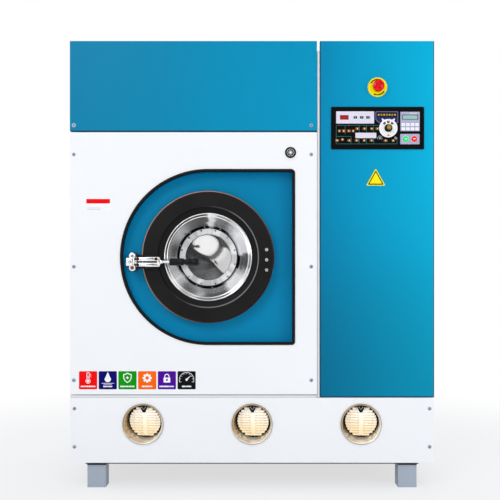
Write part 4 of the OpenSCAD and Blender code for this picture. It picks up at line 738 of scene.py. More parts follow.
louvre_r = 0.0565
slat_pitch = 0.0095
slat_tilt = turned(35, "X")
louvre = bmesh.new()
backing = bmesh.new()
clips = bmesh.new()
for x in window_xs:
    sight = at(x, window_z) @ sleeve_turn
    spun(backing, [(0, 0.04), (0, 0.0365), (0.0525, 0.0365), (0.0525, 0.0345), (0.0585, 0.0345),
                   (0.0595, 0.036), (sleeve_r, 0.036), (sleeve_r, 0.04)], sight)
    spun(louvre, [(0, 0.0364), (0, 0.034), (0.0505, 0.034), (0.0515, 0.035), (0.0515, 0.0364)],
         sight, paint=1)
    for i in range(-5, 6):
        z = i * slat_pitch
        half = math.sqrt(max(louvre_r ** 2 - z * z, 0.0001))
        slat = sight @ moved(0, 0.034, z) @ slat_tilt
        reach = max(half - 0.0035, 0.01)
        tip = max(half - 0.001, 0.012)
        for s in (-1, 1):
            block(louvre, (min(s * 0.0065, s * reach), -0.0082, -0.0011),
                  (max(s * 0.0065, s * reach), 0.0006, 0.0011), 0.0004, place=slat)
            block(louvre, (min(s * (reach - 0.004), s * tip), -0.006, -0.0028),
                  (max(s * (reach - 0.004), s * tip), 0.0002, 0.0028), 0.0006, place=slat)
    for s in (-1, 1):
        block(louvre, (s * 0.0052 - 0.0018, 0.0235, -0.0525), (s * 0.0052 + 0.0018, 0.035, 0.046),
              0.0006, place=sight)
        for x_rib in (0.019, 0.033):
            tall = math.sqrt(0.052 ** 2 - x_rib ** 2)
            block(louvre, (s * x_rib - 0.0007, 0.0275, -tall), (s * x_rib + 0.0007, 0.0345, tall),
                  0.0003, place=sight)
        disc(clips, sight @ moved(s * 0.0062, 0.0201, 0.0545), 0.0021, 0.0012, steps=16, paint=1)
    block(louvre, (-0.0036, 0.027, -0.0525), (0.0036, 0.0345, 0.046), 0.0004, place=sight)
    cut_shape(clips, sight @ moved(0, 0.024, 0.0613),
              [(0.0135, -0.0012), (-0.0135, -0.0012), (-0.0105, -0.013), (-0.0045, -0.0265),
               (0.0045, -0.0265), (0.0105, -0.013)], 0.004, edge=0.0008, corner=0.001)
    cut_shape(clips, sight @ moved(0, 0.0201, 0.0475),
              [(-0.0055, 0.003), (-0.004, 0.0042), (0, 0.0002), (0.004, 0.0042),
               (0.0055, 0.003), (0, -0.0026)], 0.0009, paint=1)
settle(louvre, "sight_louvre_slats", "cabinet", "louvre", cream, tan_plastic,
       stands_for=("sight_louvres",))
settle(backing, "sight_louvre_backings", "cabinet", "black_plastic", black_moulding)
settle(clips, "sight_louvre_clips", "cabinet", "black_plastic", black_moulding, zinc)

# ---------------------------------------------------------------------------------------
# Recess trim. An extruded rubber edging pushed over the cut edge of the front panel: a
# round left side, a straight right side, and a lip that runs back over the recess wall.
recess_r = 0.308
recess_side = 0.305
corner_top = 0.015
corner_low = 0.012


def recess_line(inset, depth):
    """Points of the recess's outline, drawn in by a length: left arc, low and top corner."""
    arcs = ((0.0, 0.0, recess_r, 90, 270, 96),
            (recess_side - corner_low, corner_low - recess_r, corner_low, 270, 360, 10),
            (recess_side - corner_top, recess_r - corner_top, corner_top, 0, 90, 10))
    points = []
    for x, z, r, start, end, steps in arcs:
        for i in range(steps + 1):
            angle = math.radians(start + (end - start) * i / steps)
            points.append(Vector((door_x + x + (r - inset) * math.cos(angle), front + depth,
                                  door_z + z + (r - inset) * math.sin(angle))))
    return points


profile = [(0.0, 0.0004), (0.0, -0.0022), (0.0006, -0.0033), (0.0018, -0.004), (0.0084, -0.004),
           (0.0095, -0.0034), (0.01, -0.0024), (0.01, 0.014), (0.0082, 0.014), (0.0082, 0.0004)]
bm = bmesh.new()
lofted(bm, [recess_line(inset, depth) for inset, depth in profile + profile[:1]])
settle(bm, "recess_edging", "cabinet", "rubber",
       surface("black_edging_rubber", "#0C0C0D", "#060607", 0.0015, 0.00003, 0.5),
       stands_for=("recess_trim",))

# ---------------------------------------------------------------------------------------
# Loading door ring. A steel casting turned on its face and sprayed satin black, with the
# bare turned edge, browned by handling, left round it; the edge has a painted highlight
# toward the upper left and painted shade toward the lower right.
door = at(door_x, door_z)


def turned_metal(name, colour, deep, pitch, relief, roughness, wedges=0.0, **values):
    """Metal worked on a lathe: fine circular lines round the door's axis, at the pitch in
    metres, and broad soft sectors of painted reflection, lighter or darker by their angle
    round the axis, shown by the share wedges."""
    skin = Finish(name)
    flat = skin.node("Mapping", {"Vector": skin.place, "Location": (-door_x, 0, -door_z),
                                 "Scale": (1, 0, 1)})
    both = skin.math("ADD", skin.vector("LENGTH", flat), skin.axes()["Y"])
    angle_noise = skin.noise(2.3, place=skin.vector("NORMALIZE", flat))
    painted_reflection = skin.remap(angle_noise, 0.42, 0.58, soft=True)
    share = skin.node("Mix", {0: wedges, 2: skin.noise(9.0, 3.0), 3: painted_reflection})
    values = {"metallic": 1.0, **values}
    return skin.done(base_color=skin.blend(share, deep, colour), roughness=roughness,
                     normal=skin.bump(skin.line_noise(both, pitch), relief), **values)


def edge_with_painted_light(name, bright, dark, way_x, way_z, reach, metallic, roughness):
    """An edge of the door with a painted highlight on one side of the ring and painted shade on
    the other: the way points to the bright side, and the tone runs from dark to bright over
    the reach, in metres along the way."""
    skin = Finish(name)
    middle = skin.vector("SUBTRACT", skin.place, (door_x, 0, door_z))
    along = skin.vector("DOT_PRODUCT", middle, (way_x, 0, way_z))
    shift = skin.math("MULTIPLY_ADD", skin.noise(22.0), 0.1, along)
    share = skin.remap(shift, 0.05 - reach, 0.05 + reach, soft=True)
    return skin.done(base_color=skin.blend(share, dark, bright), metallic=metallic,
                     roughness=roughness, specular_ior_level=0.2)


ring_black = turned_metal("satin_black_enamel", "#1C1C1D", "#0C0C0D", 0.0015, 0.00001, 0.34,
                          metallic=0.0, specular_ior_level=0.14)
dress("door_ring", ring_black)
bm = bmesh.new()
spun(bm, [(0.2284, -0.0036), (0.2304, -0.0026), (0.2315, -0.0006), (0.2318, 0.002),
          (0.2318, 0.012), (0.2309, 0.012), (0.2300, -0.0004)], door, 180)
settle(bm, "door_ring_edge", "loading_door", "brass",
       edge_with_painted_light("browned_edge_with_painted_light", "#D09A80", "#46180C", -0.78, 0.62, 0.22, 0.6, 0.35))

# The face inside the groove is matt black, and the groove's outer lip has a painted
# highlight toward the lower right.
bm = bmesh.new()
spun(bm, [(0.1546, -0.0004), (0.1582, -0.0006), (0.1726, -0.0044), (0.1733, -0.0038),
          (0.1733, -0.0032), (0.158, 0.0004), (0.1546, 0.0004)], door, 144)
spun(bm, [(0.1738, -0.0026), (0.1766, -0.0054), (0.178, -0.0054), (0.1786, -0.0038),
          (0.177, -0.0026)], door, 144, paint=1)
settle(bm, "door_ring_lip", "loading_door", "black_satin",
       surface("matt_black_enamel", "#0A0A0A", "#040404", 0.0015, 0.00001, 0.5),
       edge_with_painted_light("black_lip_with_painted_highlight", "#7E7E80", "#161617", 0.85, -0.35, 0.1, 0.3, 0.3))

# ---------------------------------------------------------------------------------------
# Door dish and clamp ring. Stainless sheet spun to a funnel with a rolled rim, polished on
# the lathe, and a turned ring that bolts the round glass to its floor over a black gasket.
# The dish's wedges are painted reflections: greys by their place round the clock, from
# 6 o'clock clockwise, and less metallic where they are brightest.
wedges = ((0.0, 0.50), (0.05, 0.62), (0.1, 0.5), (0.15, 0.85), (0.19, 0.5), (0.25, 0.42),
          (0.3, 0.3), (0.36, 0.46), (0.41, 0.26), (0.47, 0.18), (0.492, 0.22), (0.502, 0.95),
          (0.525, 0.9), (0.54, 0.4), (0.575, 0.32), (0.62, 0.8), (0.65, 1.0), (0.735, 1.0),
          (0.75, 0.3), (0.79, 0.24), (0.815, 0.8), (0.84, 1.0), (0.9, 1.0), (0.925, 0.55),
          (1.0, 0.5))
skin = Finish("spun_polished_stainless")
axes = skin.axes(skin.vector("SUBTRACT", skin.place, (door_x, 0, door_z)))
way = skin.math("ARCTAN2", axes["X"], axes["Z"])
waver = skin.math("MULTIPLY_ADD", skin.noise(38.0, 3.0), 0.24, -0.12)
clock = skin.remap(skin.math("ADD", way, waver), -math.pi, math.pi)
shade = skin.ramp(clock, [(spot, (grey, grey, grey * 1.01, 1.0)) for spot, grey in wedges])
radius = skin.vector("LENGTH", skin.node("CombineXYZ", {"X": axes["X"], "Z": axes["Z"]}))
dish_steel = skin.done(base_color=shade, metallic=skin.remap(shade, 0.55, 1.0, 1.0, 0.3),
                       roughness=0.12, anisotropic=0.5,
                       normal=skin.bump(skin.line_noise(radius, 0.0012), 0.000012))
dress("door_dish", dish_steel)
# The clamp ring's steel carries strong sectors of painted reflection.
clamp_steel = turned_metal("turned_stainless", "#FFFFFF", "#C8C9CC", 0.0008, 0.00001, 0.2,
                           wedges=0.8, metallic=0.62)
dress("glass_clamp", clamp_steel)

bm = bmesh.new()
for r in (0.1515, 0.1425):
    spun(bm, [(r - 0.0018, -0.0021), (r - 0.0012, -0.0031), (r, -0.0036), (r + 0.0012, -0.0031),
              (r + 0.0018, -0.0021)], door, 144)
settle(bm, "dish_rim_beads", "loading_door", "stainless", clamp_steel)

gasket_rubber = surface("black_gasket_rubber", "#0B0B0C", "#050505", 0.0012, 0.00003, 0.55)
dress("door_seal", gasket_rubber)
bm = bmesh.new()
spun(bm, [(0.1005, 0.0395), (0.1005, 0.0305), (0.1018, 0.0292), (0.1036, 0.0292),
          (0.1044, 0.0305), (0.1044, 0.0395)], door, 144)
settle(bm, "glass_gasket", "loading_door", "rubber", gasket_rubber)


def round_door(radius, degrees, depth):
    """A place on a circle round the door's axis, counted from 3 o'clock anticlockwise."""
    angle = math.radians(degrees)
    return at(door_x + radius * math.cos(angle), door_z + radius * math.sin(angle), depth)


# Twelve small rivet heads stand on the funnel's wall outside the gasket. The clamp's bolts
# and the three hinge bolts have dark recesses.
rivets = bmesh.new()
sockets = bmesh.new()
for i in range(12):
    spun(rivets, [(0, 0.002), (0.0026, 0.002), (0.0026, 0), (0.0021, -0.0009),
                  (0.0011, -0.0014), (0, -0.0015)], round_door(0.1085, i * 30 + 7, 0.0325), 16)
    disc(sockets, round_door(0.0965, (i + 0.5) * 30, 0.0222), 0.0021, 0.0005, steps=16)
for dz in (-0.0355, 0, 0.0355):
    tile(sockets, at(0.051, 0.802 + dz, -0.0078, 35 + dz * 2000), 0.0074, 0.0014, 0.00035)
settle(rivets, "dish_rivets", "loading_door", "stainless", clamp_steel)
dress("door_bolts", surface("polished_bolt_steel", "#E6E7EA", "#B9BBC1", 0.0008, 0.00001, 0.16,
                            cloud=0.02, metallic=1.0))
settle(sockets, "bolt_recesses", "loading_door", "zinc", recess_dark)

# ---------------------------------------------------------------------------------------
# Door glass. A round pane of clear tempered glass, held by the clamp ring on its gasket.
# Light passes it, so the drum behind it is lit.
skin = Finish("clear_tempered_glass")
haze = skin.remap(skin.noise(30.0, 3.0), 0.0, 1.0, 0.0, 0.03)
clear = skin.shader(base_color=linear("#FFFFFF"), ior=1.52, roughness=haze,
                    transmission_weight=1.0)
through = skin.node("BsdfTransparent", {"Color": linear("#F2F7F7")})
path = add(skin.tree, "LightPath").outputs
dress("door_glass", skin.shown(skin.mixed(path["Is Shadow Ray"], clear, through)))

# ---------------------------------------------------------------------------------------
# Drum and tub. Stainless sheet: the drum is rolled and perforated, its back is pressed and
# polished to a mirror, and the tub keeps the dull skin of the mill.
# The drum's steel carries faint sectors of painted reflection.
drum_steel = turned_metal("polished_drum_stainless", "#F4F5F6", "#B9BBBF", 0.002, 0.000008, 0.14,
                          wedges=0.3)
for node in ("drum_shell", "drum_ribs"):
    dress(node, drum_steel)
mill_steel = surface("mill_finish_stainless", "#C9CBCE", "#B3B6BA", 0.0015, 0.00002, 0.34,
                     cloud=0.12, metallic=1.0)
for node in ("tub", "solvent_tanks", "cartridge_filter", "still", "button_trap"):
    dress(node, mill_steel)

# The pressing stands in front of the drum's back. An upper and a right-hand lobe, each a
# little convex, give back the window's bright picture, and a slope falls away at lower left.
# A dark band, painted into the metal's colour as a dark reflection, rings the upper lobe.
band = ((0.0, 1.0), (0.4, 0.95), (0.49, 0.7), (0.55, 0.1), (0.67, 0.14), (0.78, 0.8), (1.0, 0.6))
skin = Finish("mirror_polished_stainless")
middle = skin.vector("SUBTRACT", skin.place, (door_x - 0.029, 0, door_z + 0.059))
radius = skin.vector("LENGTH", skin.vector("MULTIPLY", middle, (1, 0, 1.12)))
bent = skin.math("MULTIPLY_ADD", skin.noise(20.0, 3.0), 0.012, radius)
shade = skin.ramp(skin.remap(bent, 0.006, 0.106),
                  [(spot, (grey, grey, grey, 1.0)) for spot, grey in band])
mirror_steel = skin.done(base_color=shade, metallic=1.0, roughness=0.06,
                         normal=skin.bump(skin.noise(250.0), 0.000006))
press_r = 0.15
press_depth = 0.437
back_depth = 0.471
crease = 0.0012


def upper_lobe(x, z):
    x += 0.032
    z -= 0.058
    return 0.010 - 0.063 * x + 0.085 * z - x * x / 4.8 - z * z / 2.0


def right_lobe(x, z):
    x -= 0.033
    z += 0.009
    return 0.0028 + 0.022 * x - 0.003 * z - (x * x + z * z) / 4.0


def lower_slope(x, z):
    left = 0.0019 + 0.076 * (x + 0.029) + 0.313 * (z + 0.009)
    right = 0.0015 + 0.236 * (x + 0.007) + 0.186 * (z + 0.016)
    return max(left, right, -0.02)


def pressed(x, z):
    """The height of the pressing toward the door, with its creases softened."""
    lobes = math.exp(upper_lobe(x, z) / crease) + math.exp(right_lobe(x, z) / crease)
    high = crease * math.log(lobes)
    return -crease * math.log(math.exp(-high / crease) + math.exp(-lower_slope(x, z) / crease))


bm = bmesh.new()
rings = 50
line = [bm.verts.new((press_r * i / rings, 0, 0)) for i in range(rings + 1)]
edges = [bm.edges.new(pair) for pair in zip(line, line[1:])]
revolve(bm, line, edges, 240)
for v in bm.verts:
    outer = math.hypot(v.co.x, v.co.z) > press_r - 0.001
    v.co.y = back_depth if outer else press_depth - pressed(v.co.x, v.co.z)
bmesh.ops.translate(bm, verts=bm.verts, vec=(door_x, front, door_z))
bmesh.ops.recalc_face_normals(bm, faces=bm.faces)
settle(bm, "drum_back_pressing", "drum", "stainless", mirror_steel, smooth=50)

# A small bright cap over a bar, low on the pressing.
cap = at(door_x - 0.025, door_z - 0.062, 0.44)
bm = bmesh.new()
spun(bm, [(0, 0.012), (0.006, 0.012), (0.006, 0), (0.005, -0.0035), (0.003, -0.005),
          (0, -0.0055)], cap, 24)
block(bm, (-0.0095, 0, -0.0125), (0.0095, 0.012, -0.0085), 0.0012, place=cap)
settle(bm, "drum_balance_cap", "drum", "stainless", clamp_steel)

# ---------------------------------------------------------------------------------------
# Hinges, latch and strike. Bright chromed steel parts on the door and the recess floor;
# the joints of the latch show the copper under the chrome where they rub.
skin = Finish("worn_chrome_plate")
worn = skin.remap(skin.noise(45.0, 3.0), 0.68, 0.74)
chrome = skin.done(base_color=skin.blend(worn, "#F6F7F9", "#D8B7A4"), metallic=1.0,
                   roughness=0.12, normal=skin.bump(skin.noise(700.0), 0.00001))
copper_stain = surface("rubbed_copper", "#C99A80", "#8F5A44", 0.0012, 0.00002, 0.3, cloud=0.01,
                       metallic=1.0)
dark_joint_and_painted_shade = surface("blackened_joint_steel_and_painted_shade", "#17171A", "#0C0C0E", 0.0012, 0.00002, 0.35)
dress("latch_bracket", ring_black)
for node in ("hinge_leaf", "cabinet_hinges"):
    dress(node, zinc)

latch_x = -0.396
latch_z = 0.7945
latch_depth = -0.024
bar_face = latch_depth - 0.0062


def bar_shape(bm, x0, x1, z0, z1, near, far, crown):
    """A forged bar along x: its section is a box with a large round toward the front. Its
    height is counted from the latch's middle."""
    block(bm, (x0, front + near, latch_z + z0), (x1, front + far, latch_z + z1), crown,
          segments=5)


# The strike, screwed to the recess floor: a block with two rounded ears, each with a
# socket screw in it, and a plate with a copper ring on its face. A dark plate and two dark
# discs on the floor round the block and ears are painted shadow, and a dark spot painted in
# each socket is its shade.
ear_x = -0.4162
ear_z = 0.0205
floor_depth = 0.0368
bm = bmesh.new()
bar_shape(bm, -0.4368, -0.4084, -0.0145, 0.0145, -0.0312, 0.042, 0.0035)
tile(bm, at(-0.4226, latch_z, floor_depth), 0.0316, 0.0322, 0.002, 0.002, paint=2)
tile(bm, at(-0.4232, latch_z, -0.0312), 0.0165, 0.0165, 0.0009, 0.003, 0.0004)
disc(bm, at(-0.4232, latch_z, -0.0321), 0.0052, 0.0004, 0.0036, 24, paint=1)
for s in (-1, 1):
    z = latch_z + s * ear_z
    disc(bm, at(ear_x, z, floor_depth), 0.0139, 0.002, steps=40, paint=2)
    spun(bm, [(0, 0.0372), (0.0118, 0.0372), (0.0122, 0.034), (0.0122, -0.0195), (0.011, -0.0222),
              (0.0085, -0.0232), (0, -0.0235)], at(ear_x, z), 40)
    spun(bm, [(0.0032, 0), (0.0065, 0), (0.0069, -0.0012), (0.006, -0.0022), (0.0032, -0.0022)],
         at(ear_x, z, -0.0233), 32, paint=0 if s > 0 else 1)
    disc(bm, at(ear_x, z, -0.0236), 0.0031, 0.0006, steps=20, paint=2)
settle(bm, "latch_strike", "cabinet", "chrome", chrome, copper_stain, dark_joint_and_painted_shade,
       stands_for=("door_strike",), smooth=30)

# The lever: two crowned bars with a dark strip between them, painted as the shade in their
# slot, dark joint pins with a thin copper outline, an end block, and a rod that carries the
# grip.
rod = at(0, latch_z, latch_depth) @ turned(-90, "Z")
bm = bmesh.new()
for z0, z1 in ((0.0022, 0.0178), (-0.0178, -0.0022)):
    bar_shape(bm, -0.4035, -0.3195, z0, z1, bar_face, latch_depth + 0.005, 0.0048)
block(bm, (-0.401, front + latch_depth - 0.001, latch_z - 0.0024),
      (-0.3215, front + latch_depth + 0.004, latch_z + 0.0024), 0.0002, paint=2)
bar_shape(bm, -0.3305, -0.3158, -0.0092, 0.0092, latch_depth - 0.0058, latch_depth + 0.0058,
          0.0035)
spun(bm, [(0, 0.0025), (0.0065, 0.0025), (0.0065, 0.0095), (0, 0.0095)],
     at(latch_x, latch_z, latch_depth), 32)
bar_shape(bm, latch_x - 0.023, latch_x, -0.006, 0.006, latch_depth + 0.003, latch_depth + 0.0098,
          0.002)
for x, z, r in ((-0.3965, 0.010, 0.0052), (-0.3965, -0.010, 0.0052), (-0.3325, 0.010, 0.0046)):
    pin = at(x, latch_z + z, bar_face)
    disc(bm, pin, r + 0.0009, 0.0004, r, 28, paint=1)
    spun(bm, [(0, 0), (r, 0), (r * 0.9, -0.0008), (r * 0.4, -0.0013), (0, -0.0014)], pin, 28,
         paint=2)
for x in (-0.3865, -0.3445):
    for z in (0.010, -0.010):
        tile(bm, at(x, latch_z + z, bar_face), 0.0008, 0.0118, 0.0002, paint=1)
spun(bm, [(0, -0.318), (0.0068, -0.318), (0.0068, -0.312), (0.0046, -0.3095), (0.0046, -0.192),
          (0, -0.192)], rod, 32)
settle(bm, "latch_bars", "latch", "chrome", chrome, copper_stain, dark_joint_and_painted_shade,
       stands_for=("latch_lever",), smooth=30)

# The grip: moulded black plastic with a plain start and three rounded segments.
grip_r = 0.0127
neck_r = 0.0086
outline = [(0, -0.287), (0.0088, -0.287), (0.0112, -0.2862), (grip_r, -0.284),
           (grip_r, -0.2585), (0.0112, -0.2565)]
for start in (-0.2553, -0.2323, -0.2093):
    end = start + 0.0215
    outline += [(neck_r, start - 0.0012), (neck_r, start), (grip_r - 0.0012, start + 0.0012),
                (grip_r, start + 0.005), (grip_r, end - 0.006), (grip_r - 0.0012, end - 0.0022),
                (neck_r, end - 0.001)]
outline += [(0.0092, -0.1866), (0.0066, -0.1852), (0, -0.185)]
bm = bmesh.new()
spun(bm, outline, rod, 48)
settle(bm, "latch_grip", "latch", "black_plastic",
       surface("black_ribbed_grip", "#0C0C0D", "#050506", 0.0015, 0.00003, 0.22,
               specular_ior_level=0.22), stands_for=("lever_grip",), smooth=30)

# ---------------------------------------------------------------------------------------
# Quarter-turn lock. A chromed body set through the front panel, with a core of glossy
# black plastic that carries bright rings round its key hole.
dress("lock_body", chrome)
dress("lock_core", surface("black_gloss_plastic", "#0C0C0E", "#060607", 0.004, 0.00001, 0.16))
lock_x = 0.1345
lock_z = 1.17675
bm = bmesh.new()
disc(bm, at(lock_x, lock_z, -0.0068), 0.0128, 0.0016, 0.0118, 40)
disc(bm, at(lock_x, lock_z, -0.0068), 0.0043, 0.0016, steps=24)
disc(bm, at(lock_x, lock_z, -0.008), 0.0072, 0.0002, 0.0062, 32)
settle(bm, "lock_core_rings", "lock_barrel", "chrome", chrome)

# ---------------------------------------------------------------------------------------
# Machinery behind the panels: castings, motors in blue enamel, copper pipe, galvanised
# sheet for the air circuit, and the black rubber belt.
skin = Finish("galvanised_sheet")
spangle = add(skin.tree, "TexVoronoi", {"Vector": skin.place, "Scale": 60.0}).outputs["Distance"]
galvanised = skin.done(base_color=skin.blend(spangle, "#A9AEB4", "#C6CBD1"), metallic=1.0,
                       roughness=skin.remap(spangle, 0.0, 1.0, 0.28, 0.5))
machinery = (
    (("bearing_unit", "drum_shaft", "motor_pulley"), "cast",
     surface("painted_casting", "#5B6068", "#43474E", 0.003, 0.0003, 0.5)),
    (("drum_motor", "fan_motor", "solvent_pump"), "motor_blue",
     powder_coat("blue_motor_enamel", "#33598A", "#2A4C78", 0.4, 0.0002)),
    (("compressor",), "dark_paint",
     powder_coat("black_compressor_enamel", "#1E2024", "#141518", 0.35, 0.0001)),
    (("drive_belt",), "rubber",
     surface("black_belt_rubber", "#161617", "#0C0C0D", 0.001, 0.0001, 0.6)),
    (("pipework", "air_coils"), "copper",
     surface("copper_pipe", "#C9825C", "#A4603F", 0.004, 0.00003, 0.3, cloud=0.08, metallic=1.0)),
    (("fan_housing", "lint_filter", "fan_wheel"), "aluminium", galvanised),
    (("electrical_enclosure",), "frame_paint",
     powder_coat("light_grey_enamel", "#C9CCD0", "#BFC2C7")),
    (("switchgear",), "grey_plastic",
     surface("grey_switchgear_plastic", "#8E9298", "#7C8087", 0.002, 0.00003, 0.5)))
for group, slot, material in machinery:
    for node in group:
        dress(node, material)

# ---------------------------------------------------------------------------------------
# Control panel. A black anodised plate with the controller, the keypad and the button
# plate screwed to it, and a printed flow diagram with small lamps round the dial.
panel_x = 0.439
panel_z = 1.2628
face = -0.004
case_t = 0.006
tile_gap = 1e-5
dial = (0.476, 1.2618)
buttons = ((0.5365, 1.2238), (0.5665, 1.2238))
cap_r = 0.0098
well_r = cap_r + 0.0003
anodised = surface("black_anodised_plate", "#0B0B0D", "#030304", 0.0012, 0.00001, 0.38,
                   specular_ior_level=0.06)
lilac = surface("pale_lilac_abs", "#E6E2F1", "#DAD6E8", 0.0012, 0.00002, 0.34)
grey_lilac = surface("grey_lilac_abs", "#B6B5D0", "#A8A7C4", 0.0012, 0.00002, 0.34)


def pierced(bm, place, w, h, thick, holes, corner=0.0):
    """A flat plate with round corners and round holes, each hole across, up and radius."""
    part = bmesh.new()
    bmesh.ops.create_grid(part, x_segments=1, y_segments=1, size=0.5)
    bmesh.ops.transform(part, matrix=Matrix.Diagonal((w, h, 1, 1)), verts=part.verts)
    if corner:
        round_corners(part, part.verts, corner, "VERTICES", 4)
    bmesh.ops.delete(part, geom=part.faces[:], context="FACES_ONLY")
    for x, z, r in holes:
        bmesh.ops.create_circle(part, segments=32, radius=r, matrix=moved(x, z, 0))
    bmesh.ops.triangle_fill(part, use_beauty=True, use_dissolve=False, edges=part.edges[:])
    bmesh.ops.transform(part, matrix=turned(90, "X"), verts=part.verts)
    thicken(part, thick)
    join(bm, part, place)


def printed(name, colour, deep, roughness, grain=0.001, **values):
    """A smooth ink, enamel or moulding."""
    return surface(name, colour, deep, grain, 0.00001, roughness, **values)


bm = bmesh.new()
pierced(bm, at(panel_x, panel_z), 0.325, 0.148, -face,
        [(x - panel_x, z - panel_z, well_r) for x, z in buttons]
        + [(dial[0] - panel_x, dial[1] - panel_z, 0.0053)], 0.004)
settle(bm, "panel_plate", "cabinet_door", "black_plastic", anodised,
       stands_for=("control_panel",))

# Temperature controller: a case of tiles, joined where they touch, round a display and
# three key wells.
controller_x = 0.36
controller_z = 1.2988
display_x = controller_x - 0.038
case_w = 0.132
case_h = 0.042
window_w = 0.03
window_h = 0.016
key_xs = (0.3605, 0.3825, 0.4045)
cuts = [controller_x - case_w / 2, display_x - window_w / 2, display_x + window_w / 2]
for x in key_xs:
    cuts += [x - 0.0061, x + 0.0061]
cuts.append(controller_x + case_w / 2)
bm = bmesh.new()
for i, (start, end) in enumerate(zip(cuts, cuts[1:])):
    middle_x = (start + end) / 2
    if i % 2 == 0:
        tile(bm, at(middle_x, controller_z, face), end - start, case_h, case_t)
        continue
    hole = window_h if i == 1 else 0.0082
    band_h = (case_h - hole) / 2
    for s in (-1, 1):
        tile(bm, at(middle_x, controller_z + s * (hole + band_h) / 2, face), end - start, band_h,
             case_t)
bmesh.ops.remove_doubles(bm, verts=bm.verts, dist=tile_gap)
settle(bm, "controller_case", "cabinet_door", "grey_plastic", lilac)

skin = Finish("red_display_window")
display = skin.done(base_color=skin.blend(skin.noise(300.0), "#6E0006", "#900408"), roughness=0.2,
                    specular_ior_level=0.15)
skin = Finish("lit_red_segment")
segment = skin.done(base_color=skin.blend(skin.noise(500.0), "#D01410", "#E8281C"), roughness=0.3,
                    emission_color=linear("#FF2018"), emission_strength=0.12)
bm = bmesh.new()
tile(bm, at(display_x, controller_z, face), window_w, window_h, 0.0045, 0.001)
for digit in (-0.0088, 0, 0.0088):
    for x in (-0.0026, 0.0026):
        for z in (-0.0025, 0.0025):
            tile(bm, at(display_x + digit + x, controller_z + z, face - 0.0045), 0.001, 0.004,
                 0.0002, paint=1)
    for z in (-0.005, 0, 0.005):
        tile(bm, at(display_x + digit, controller_z + z, face - 0.0045), 0.0042, 0.001, 0.0002,
             paint=1)
settle(bm, "controller_display", "cabinet_door", "red", display, segment)

key_rubber = surface("black_key_rubber", "#141416", "#0B0B0C", 0.001, 0.00003, 0.45)
key_face = face - 0.0075
arrow = [(-0.0022, -0.0012), (0.0022, -0.0012), (0, 0.0018)]
for i, (name, turn) in enumerate((("set", 0), ("down", 180), ("up", 0))):
    dress(f"{name}_key", key_rubber)
    bm = bmesh.new()
    if name == "set":
        disc(bm, at(key_xs[i], controller_z, key_face), 0.0017, 0.0002, steps=20)
    else:
        cut_shape(bm, at(key_xs[i], controller_z, key_face, turn), arrow, 0.0002)
    settle(bm, f"{name}_key_mark", f"{name}_cap", "black_plastic", lilac)

# Inverter keypad: a case, a green-grey liquid crystal display and eight white keys.
keypad_x = 0.5515
keypad_z = 1.2848
side = 0.067
lcd_w = 0.057
lcd_h = 0.018
lcd_z = 1.2998
low = keypad_z - side / 2
high = keypad_z + side / 2
lcd_low = lcd_z - lcd_h / 2
lcd_high = lcd_z + lcd_h / 2
bar_w = (side - lcd_w) / 2
bm = bmesh.new()
tile(bm, at(keypad_x, (low + lcd_low) / 2, face), side, lcd_low - low, case_t)
tile(bm, at(keypad_x, (high + lcd_high) / 2, face), side, high - lcd_high, case_t)
for s in (-1, 1):
    tile(bm, at(keypad_x + s * (lcd_w + bar_w) / 2, lcd_z, face), bar_w, lcd_h, case_t)
bmesh.ops.remove_doubles(bm, verts=bm.verts, dist=tile_gap)
tile(bm, at(keypad_x + 0.012, high - 0.005, face - case_t), 0.024, 0.0026, 0.0003, paint=1)
settle(bm, "keypad_case", "cabinet_door", "grey_plastic", grey_lilac, lilac)
skin = Finish("liquid_crystal_glass")
crystal = skin.done(base_color=skin.blend(skin.noise(420.0), "#7FB3A6", "#9CC9BC"),
                    roughness=0.15, coat_weight=1.0, coat_roughness=0.04)
bm = bmesh.new()
tile(bm, at(keypad_x, lcd_z, face), lcd_w, lcd_h, 0.0044, paint=1)
tile(bm, at(keypad_x, lcd_z, face - 0.0044), lcd_w - 0.006, lcd_h - 0.005, 0.0003)
settle(bm, "keypad_display", "cabinet_door", "glass", crystal,
       printed("dark_display_frame", "#4C5A62", "#3B484F", 0.4))
white_key = printed("white_moulded_key", "#FDFDFF", "#F2F2F8", 0.32)
bm = bmesh.new()
for i in (-1.5, -0.5, 0.5, 1.5):
    for z in (1.2738, 1.2588):
        key = at(keypad_x + i * 0.016, z, face - case_t)
        tile(bm, key, 0.0125, 0.01, 0.0015, 0.0012, 0.0004)
        tile(bm, key @ moved(0, -0.0015, 0), 0.0044, 0.0012, 0.0002, paint=1)
settle(bm, "keypad_keys", "cabinet_door", "grey_plastic", white_key, grey_lilac)

# Start and stop: a plate with two wells, and a domed cap in each.
bm = bmesh.new()
pierced(bm, at(keypad_x, buttons[0][1], face), side, 0.036, 0.003,
        [(x - keypad_x, 0, well_r) for x, z in buttons], 0.002)
for x, z in buttons:
    disc(bm, at(x, z, face - 0.003), cap_r + 0.0026, 0.0006, cap_r + 0.0006, 40, paint=1)
settle(bm, "button_plate", "cabinet_door", "grey_plastic", grey_lilac, lilac)
caps = (("start", "green", "#12F08A", "#0ADC78"), ("stop", "red", "#FF1414", "#EE0808"))
for (name, slot, colour, deep), (x, z) in zip(caps, buttons):
    dress(f"{name}_button", printed(f"{slot}_moulded_cap", colour, deep, 0.25, coat_weight=0.5,
                                    coat_roughness=0.1))
    bm = bmesh.new()
    tile(bm, at(x, z, -0.0122), 0.0088, 0.0024, 0.0009, 0.0008)
    settle(bm, f"{name}_cap_bar", f"{name}_cap", slot, white_key)

